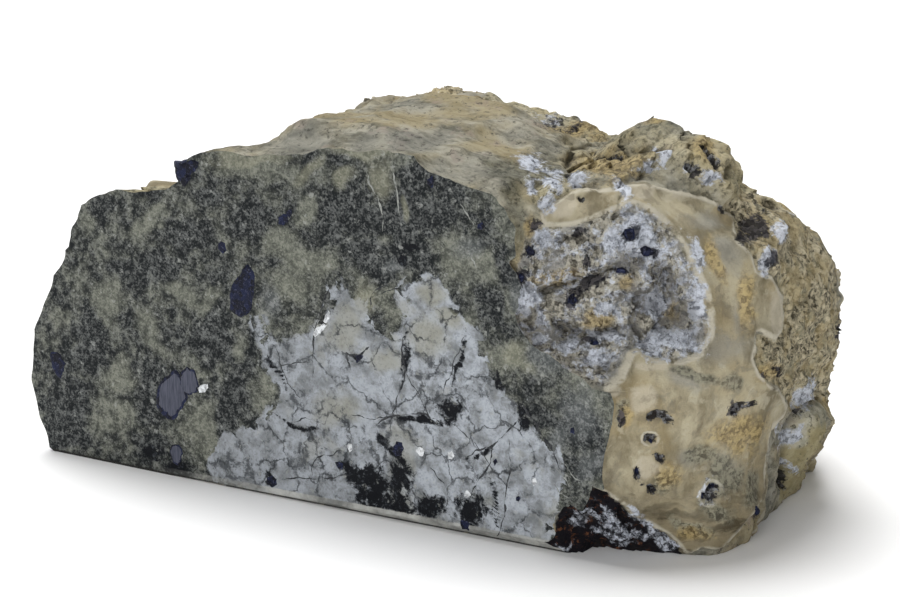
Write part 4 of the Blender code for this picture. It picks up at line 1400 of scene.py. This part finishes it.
def alongPath(path, count, closed=False):
    # points at equal distances along a path
    path = np.array(path, float)
    if closed:
        path = np.concatenate([path, path[:1]])
    length = np.concatenate([[0.0], np.cumsum(np.linalg.norm(np.diff(path, axis=0), axis=1))])
    wanted = np.linspace(0.0, length[-1], count + closed)[:count]
    return np.stack([np.interp(wanted, length, path[:, axis]) for axis in range(3)], axis=-1)


def sawnGrains(name, outlines, material, lift=1.0):
    # each grain: middle + share * (outline - middle), raised from the face by the profile
    shares, heights = np.array(grainShape["profile"]).T
    columns = grainShape["columns"]
    rims = np.array([alongPath(onFace(path), columns, True) for path in outlines.values()])
    middle = rims.mean(axis=1, keepdims=True)
    ragged = np.zeros_like(rims)
    for axis, seed in ((0, 91), (2, 93)):
        wander = hills(rims, 0.7, seed) + hills(rims, 1.9, seed + 5)
        ragged[..., axis] = grainShape["raggedness"] * wander
    rims = rims + ragged
    rings = middle[:, :, None] + (rims - middle)[:, :, None] * shares[:, None]
    proud = lift * grainShape["proud"] * (1.0 + 0.5 * hills(rings, 0.9, 95))
    rings[..., 1] = -proud * heights
    ends = np.repeat(middle, 2, axis=1)
    ends[:, :, 1] = (-lift * grainShape["proud"], 8.0 * grainShape["proud"])
    return ringPiece(name, rings, ends, material)


veinShape = {
    "rows": 60,
    "columns": 8,
    "proud": 0.018,
    "sunk": 0.12,
    "wander": 0.32,
    "thinnest": 0.15,                           # share of the half width
}


def sawnVeins(name, lines, material):
    # a flat lens section carried along each path, which wanders and swells with noise and tapers
    # to nothing at its ends
    paths = np.array([alongPath(onFace(line[1:]), veinShape["rows"]) for line in lines.values()])
    half = np.array([line[0] for line in lines.values()])[:, None]
    wander = [hills(paths, 2.2, seed) + 0.5 * hills(paths, 0.8, seed) for seed in (81, 82)]
    paths[..., 0] += veinShape["wander"] * wander[0]
    paths[..., 2] += veinShape["wander"] * wander[1]
    ahead = np.gradient(paths, axis=1)
    ahead /= np.linalg.norm(ahead, axis=2, keepdims=True)
    across = np.stack([-ahead[..., 2], np.zeros(ahead.shape[:2]), ahead[..., 0]], axis=-1)
    taper = np.sin(np.linspace(0.06, np.pi - 0.06, veinShape["rows"])) ** 0.5
    swell = 0.85 + 0.9 * hills(paths, 1.4, 85) + 0.7 * hills(paths, 0.5, 87)
    swell = half * taper * np.maximum(swell, veinShape["thinnest"])
    turn = np.arange(veinShape["columns"]) / veinShape["columns"] * 2.0 * np.pi
    rings = paths[:, None] + across[:, None] * (np.cos(turn)[:, None] * swell[:, None])[..., None]
    lift = np.where(np.sin(turn) > 0, -veinShape["proud"], veinShape["sunk"]) * np.abs(np.sin(turn))
    rings[..., 1] = lift[:, None]
    return ringPiece(name, rings, paths[:, [0, -1]], material)


def navyPattern(tree, place):
    # blue-black chromite, broken into facets with paler, scratched edges
    facet = grains(tree, stirred(tree, place, 1.0, 0.5), 0.9)
    colour = toned(tree, facet, 0.2, 0.95, (0.001, 0.0015, 0.007), (0.008, 0.012, 0.038))
    fine = cloud(tree, place, 0.5, 4.0, 0.8)
    colour = tint(tree, rise(tree, fine, 0.54, 0.7, 0.0, 0.75), colour, (0.1, 0.11, 0.18))
    return colour, rise(tree, facet, 0.0, 1.0, 0.3, 0.5), calc(tree, "MULTIPLY", fine, 0.15)


def metalPattern(tree, place):
    # grey, polished chromite with fine upright saw marks
    line = cloud(tree, stretched(tree, place, (3.0, 1.0, 0.25)), 1.2, 3.0, 0.7)
    spot = cloud(tree, place, 0.9, 4.0, 0.7)
    colour = toned(tree, line, 0.35, 0.65, (0.042, 0.046, 0.066), (0.08, 0.085, 0.115))
    colour = tint(tree, rise(tree, spot, 0.62, 0.72, 0.0, 0.8), colour, (0.015, 0.017, 0.03))
    return colour, rise(tree, line, 0.3, 0.7, 0.32, 0.5), calc(tree, "MULTIPLY", line, 0.03)


def gritPattern(low, high, size, roughness):
    # speckled between two tones, with grains of the given size
    def pattern(tree, place):
        fine = cloud(tree, place, size, 5.0, 0.7)
        level = calc(tree, "MULTIPLY", fine, 0.8)
        level = calc(tree, "MULTIPLY_ADD", grains(tree, place, size), 0.35, level)
        colour = toned(tree, level, 0.3, 0.75, low, high)
        rough = rise(tree, fine, 0.3, 0.7, roughness, roughness + 0.15)
        return colour, rough, calc(tree, "MULTIPLY", fine, 0.1)
    return pattern


sawnGrains("navyGrains", faceGrains["navy"], patternMaterial("navyChromite", navyPattern))
sawnGrains("metalGrains", faceGrains["metal"], patternMaterial("greyChromite", metalPattern))
metalRims = {}
for name, outline in faceGrains["metal"].items():
    centre = np.mean(outline, axis=0)
    metalRims[name] = centre + grainShape["rim"] * (np.array(outline) - centre)
sawnGrains("metalRims", metalRims, bpy.data.materials["navyChromite"], 0.7)

speckled = {                                    # two tones, grain size, roughness
    "whiteGlint": ((0.25, 0.26, 0.27), (0.7, 0.72, 0.74), 0.5, 0.3),
    "veinInk": ((0.012, 0.013, 0.016), (0.05, 0.052, 0.055), 0.8, 0.6),
    "veinPale": ((0.11, 0.115, 0.105), (0.3, 0.31, 0.29), 0.8, 0.45),
}
for name, look in speckled.items():
    patternMaterial(name, gritPattern(*look))
sawnGrains("glintGrains", faceGrains["glint"], bpy.data.materials["whiteGlint"])
sawnVeins("darkVeins", faceCracks, bpy.data.materials["veinInk"])
sawnVeins("paleVeins", faceStreaks, bpy.data.materials["veinPale"])
print("face: grains and veins are set")


# Crystals and loose grit on the broken surfaces

crystals = {                                    # photo place, half sizes in millimetres
    "step": (186.5, 174.0, 2.7, 2.0, 2.4),
    "pocket": (628, 235, 1.2, 1.0, 1.5),
    "pocketSmall": (647, 251, 1.3, 0.9, 1.0),
    "pocketLow": (570, 300, 0.9, 0.9, 1.0),
    "ledge": (595, 344, 1.1, 0.7, 0.5),
    "shelf": (622, 270, 1.0, 0.6, 0.5),
    "rimLeft": (521, 276, 1.1, 0.8, 1.2),
    "rimLow": (529, 252, 0.8, 0.7, 0.9),
    "ringPit": (651, 441, 0.5, 0.5, 0.5),
    "ovalPit": (711, 488, 0.6, 0.6, 0.7),
    "ovalPitLow": (703, 497, 0.4, 0.4, 0.5),
    "navyBit": (636, 471, 0.5, 0.5, 0.8),
    "foot": (757, 511, 0.7, 0.6, 0.9),
}
crystalShape = {
    "stepDepth": 1.5,                           # the step's crystal is cut, this far behind the face
    "pieces": 6,                                # in each cluster: a main one and others strewn round it
    "strewn": 0.6,                              # how far, and how large they are, in half sizes
    "main": 0.78,
    "others": (0.35, 0.62),
    "columns": 16,
    "rows": 11,
    "facets": 9,
}
facetAway = (0.7, 1.0)                          # distances of the facets from a crystal's middle
facetLeast = 0.72                               # least reach (n.d) / D


def surfaceAt(x, y):
    # the stone's point nearest the camera; a pixel beyond the reach counts as much as 40 mm
    gap = np.linalg.norm(stonePlaces - (x, y), axis=1)
    depth = (viewPlace - stonePoints) @ viewBack
    reach = 1.5
    return stonePoints[np.argmin(depth + 40.0 * np.maximum(gap - reach, 0.0))]


def balls(columns, rows):
    # directions of a ball's rings, and of its two ends
    turn = np.arange(columns) / columns * 2.0 * np.pi
    polar = (np.arange(rows) + 1.0) / (rows + 1.0) * np.pi
    turn, polar = np.meshgrid(turn, polar, indexing="ij")
    level = np.sin(polar)
    rings = np.stack([level * np.cos(turn), level * np.sin(turn), np.cos(polar)], axis=-1)
    return rings, np.array([[0.0, 0.0, 1.0], [0.0, 0.0, -1.0]])


def facetedBalls(count, seed, columns, rows, facets):
    # crystals of half size 1: radius = least of D / (n.d) over random facets n at distances D, and
    # never above 1 over the least reach
    rng = np.random.default_rng(seed)
    facing = rng.normal(size=(count, facets, 3))
    facing /= np.linalg.norm(facing, axis=2, keepdims=True)
    facing /= rng.uniform(*facetAway, (count, facets))[..., None]
    shaped = []
    for ways in balls(columns, rows):
        reach = np.einsum("...k,nfk->nf...", ways, facing).max(axis=1)
        radius = 1.0 / np.maximum(reach, facetLeast)
        shaped.append(ways * radius[..., None])
    return shaped


def facetedPiece(name, shapes, centres, sizes, material, angle):
    # crystals of the given centres and half sizes in one mesh, with edges sharp above the angle
    rings, ends = shapes
    rings = centres[:, None, None] + rings * sizes[:, None, None]
    ends = centres[:, None] + ends * sizes[:, None]
    piece = ringPiece(name, rings, ends, material)
    piece.data.set_sharp_from_angle(angle=np.radians(angle))
    return piece


def placedCrystals(name, places, material):
    # a cluster of crystals for each photo place: one in its middle, the rest strewn round it; the
    # step's, which comes first, is placed from the sawn face
    rng = np.random.default_rng(31)
    pieces, strewn = crystalShape["pieces"], crystalShape["strewn"]
    shape = [crystalShape[key] for key in ("columns", "rows", "facets")]
    sizes = np.repeat(np.array([place[2:5] for place in places.values()]), pieces, axis=0)
    centres = np.array([surfaceAt(*place[:2]) for place in places.values()])
    centres[0] = onFace(places["step"][:2])[0] + (0.0, crystalShape["stepDepth"], 0.0)
    centres = np.repeat(centres, pieces, axis=0)
    main = (np.arange(len(sizes)) % pieces == 0)[:, None]
    centres = centres + np.where(main, 0.0, rng.uniform(-strewn, strewn, sizes.shape) * sizes)
    others = rng.uniform(*crystalShape["others"], sizes.shape)
    sizes = sizes * np.where(main, crystalShape["main"], others)
    facetedPiece(name, facetedBalls(len(sizes), 17, *shape), centres, sizes, material, 24.0)


gritKinds = {                                   # field, its least value, count, sizes, seed
    "limeGrit": ("lime", -0.1, 1400, 0.12, 0.4, 5),
    "pocketGrit": ("pocket", -0.2, 1400, 0.15, 0.5, 6),
    "granularGrit": ("granular", -0.1, 1100, 0.12, 0.32, 7),
    "cornerGrit": ("corner", -0.2, 260, 0.2, 0.5, 9),
    "lobeGrit": ("lobe", -0.2, 240, 0.12, 0.35, 10),
}
gritSunk = 0.6                                  # share of its half size that a grain lies in


def scatteredGrit(name, field, least, count, small, large, seed):
    # faceted balls, sunk partly in, at random points of the stone where the field is above its
    # least value; each point keeps the fields of the place that its ball lies on
    rng = np.random.default_rng(seed)
    chosen = rng.choice(np.flatnonzero(gritGround & (stoneFields[field] > least)), count)
    sizes = rng.uniform(small, large, (count, 1)) * rng.uniform(0.6, 1.0, (count, 3))
    centres = stonePoints[chosen] - gritSunk * sizes * compass(photoView["azimuth"])
    grit = facetedBalls(count, seed, 6, 3, 7)
    piece = facetedPiece(name, grit, centres, sizes, bpy.data.materials["weatheredStone"], 30.0)
    copies = len(piece.data.vertices) // count
    for key in groundFields:
        storeField(piece.data, key, np.repeat(stoneFields[key][chosen], copies))


# fields that each grain takes from its place, the painted cave shade among them
groundFields = (
    "crust", "pocket", "granular", "lobe", "corner", "lime", "dark", "ochre", "creamPlate", "greyHaze",
    "shade", "pits", "caveShade",
)
stonePlaces = photoPlace(stonePoints)
gritGround = (stoneLabel == 3) & (stonePoints[:, 2] > 1.0) & (stonePoints[:, 1] > 1.0)
placedCrystals("navyCrystals", crystals, bpy.data.materials["navyChromite"])
for kind, values in gritKinds.items():
    scatteredGrit(kind, *values)
print("breaks: crystals and grit are set")


# The studio: a plain pale floor, an even white surround, a soft key light and a softer fill

studio = {
    "floorSize": 6.0,                           # in metres
    "floorLevel": -0.00003,
    "surround": 0.18,                           # strength; the camera itself sees pure white
    "lights": {                                 # power, spread, azimuth from the front, lean
        "key": (3.72, 40.0, -124.0, 66.0),
        "fill": (2.12, 60.0, 18.0, 13.0),
    },
}

floorMesh = bpy.data.meshes.new("floor")
half = studio["floorSize"] / 2
floorCorners = [(-half, -half, 0), (half, -half, 0), (half, half, 0), (-half, half, 0)]
floorMesh.from_pydata(floorCorners, [], [(0, 1, 2, 3)])
floor = bpy.data.objects.new("floor", floorMesh)
floor.location.z = studio["floorLevel"]
bpy.context.scene.collection.objects.link(floor)
floorMaterial = bpy.data.materials.new("floorWhite")
floorMaterial.use_nodes = True
floorShader = floorMaterial.node_tree.nodes["Principled BSDF"]
floorShader.inputs["Base Color"].default_value = (0.93, 0.93, 0.93, 1.0)
floorShader.inputs["Roughness"].default_value = 0.9
floorMesh.materials.append(floorMaterial)

world = bpy.data.worlds.new("surround")
world.use_nodes = True
background = world.node_tree.nodes["Background"]
background.inputs["Color"].default_value = (1.0, 1.0, 1.0, 1.0)
background.inputs["Strength"].default_value = studio["surround"]
seenSurround = put(world.node_tree, "Background", {"Color": (1.0, 1.0, 1.0, 1.0), "Strength": 1.0})
direct = put(world.node_tree, "LightPath").outputs["Is Camera Ray"]
shaders = {0: direct, 1: background.outputs[0], 2: seenSurround.outputs[0]}
shown = put(world.node_tree, "MixShader", shaders).outputs[0]
feed(world.node_tree, world.node_tree.nodes["World Output"], {"Surface": shown})
bpy.context.scene.world = world

for lightName, (power, spread, azimuth, lean) in studio["lights"].items():
    lightData = bpy.data.lights.new(lightName, "SUN")
    lightData.energy = power
    lightData.angle = np.radians(spread)
    light = bpy.data.objects.new(lightName, lightData)
    towards = compass(azimuth, lean)
    aside = compass(azimuth + 90.0)
    lightAxes = np.stack([aside, np.cross(towards, aside), towards], axis=1)
    light.matrix_world = Matrix(lightAxes.tolist()).to_4x4()
    bpy.context.scene.collection.objects.link(light)

cameraData = bpy.data.cameras.new("photoView")
cameraData.lens = photoView["lens"]
cameraData.sensor_width = photoView["sensor"]
cameraData.clip_start = 0.01
camera = bpy.data.objects.new("photoView", cameraData)
viewAxes = np.stack([viewRight, viewUp, viewBack], axis=1)
camera.matrix_world = Matrix.Translation(toWorld(viewPlace)) @ Matrix(viewAxes.tolist()).to_4x4()
bpy.context.scene.collection.objects.link(camera)
bpy.context.scene.camera = camera
bpy.context.scene.view_settings.view_transform = "Standard"
print("studio: floor, surround, lights and camera are set")
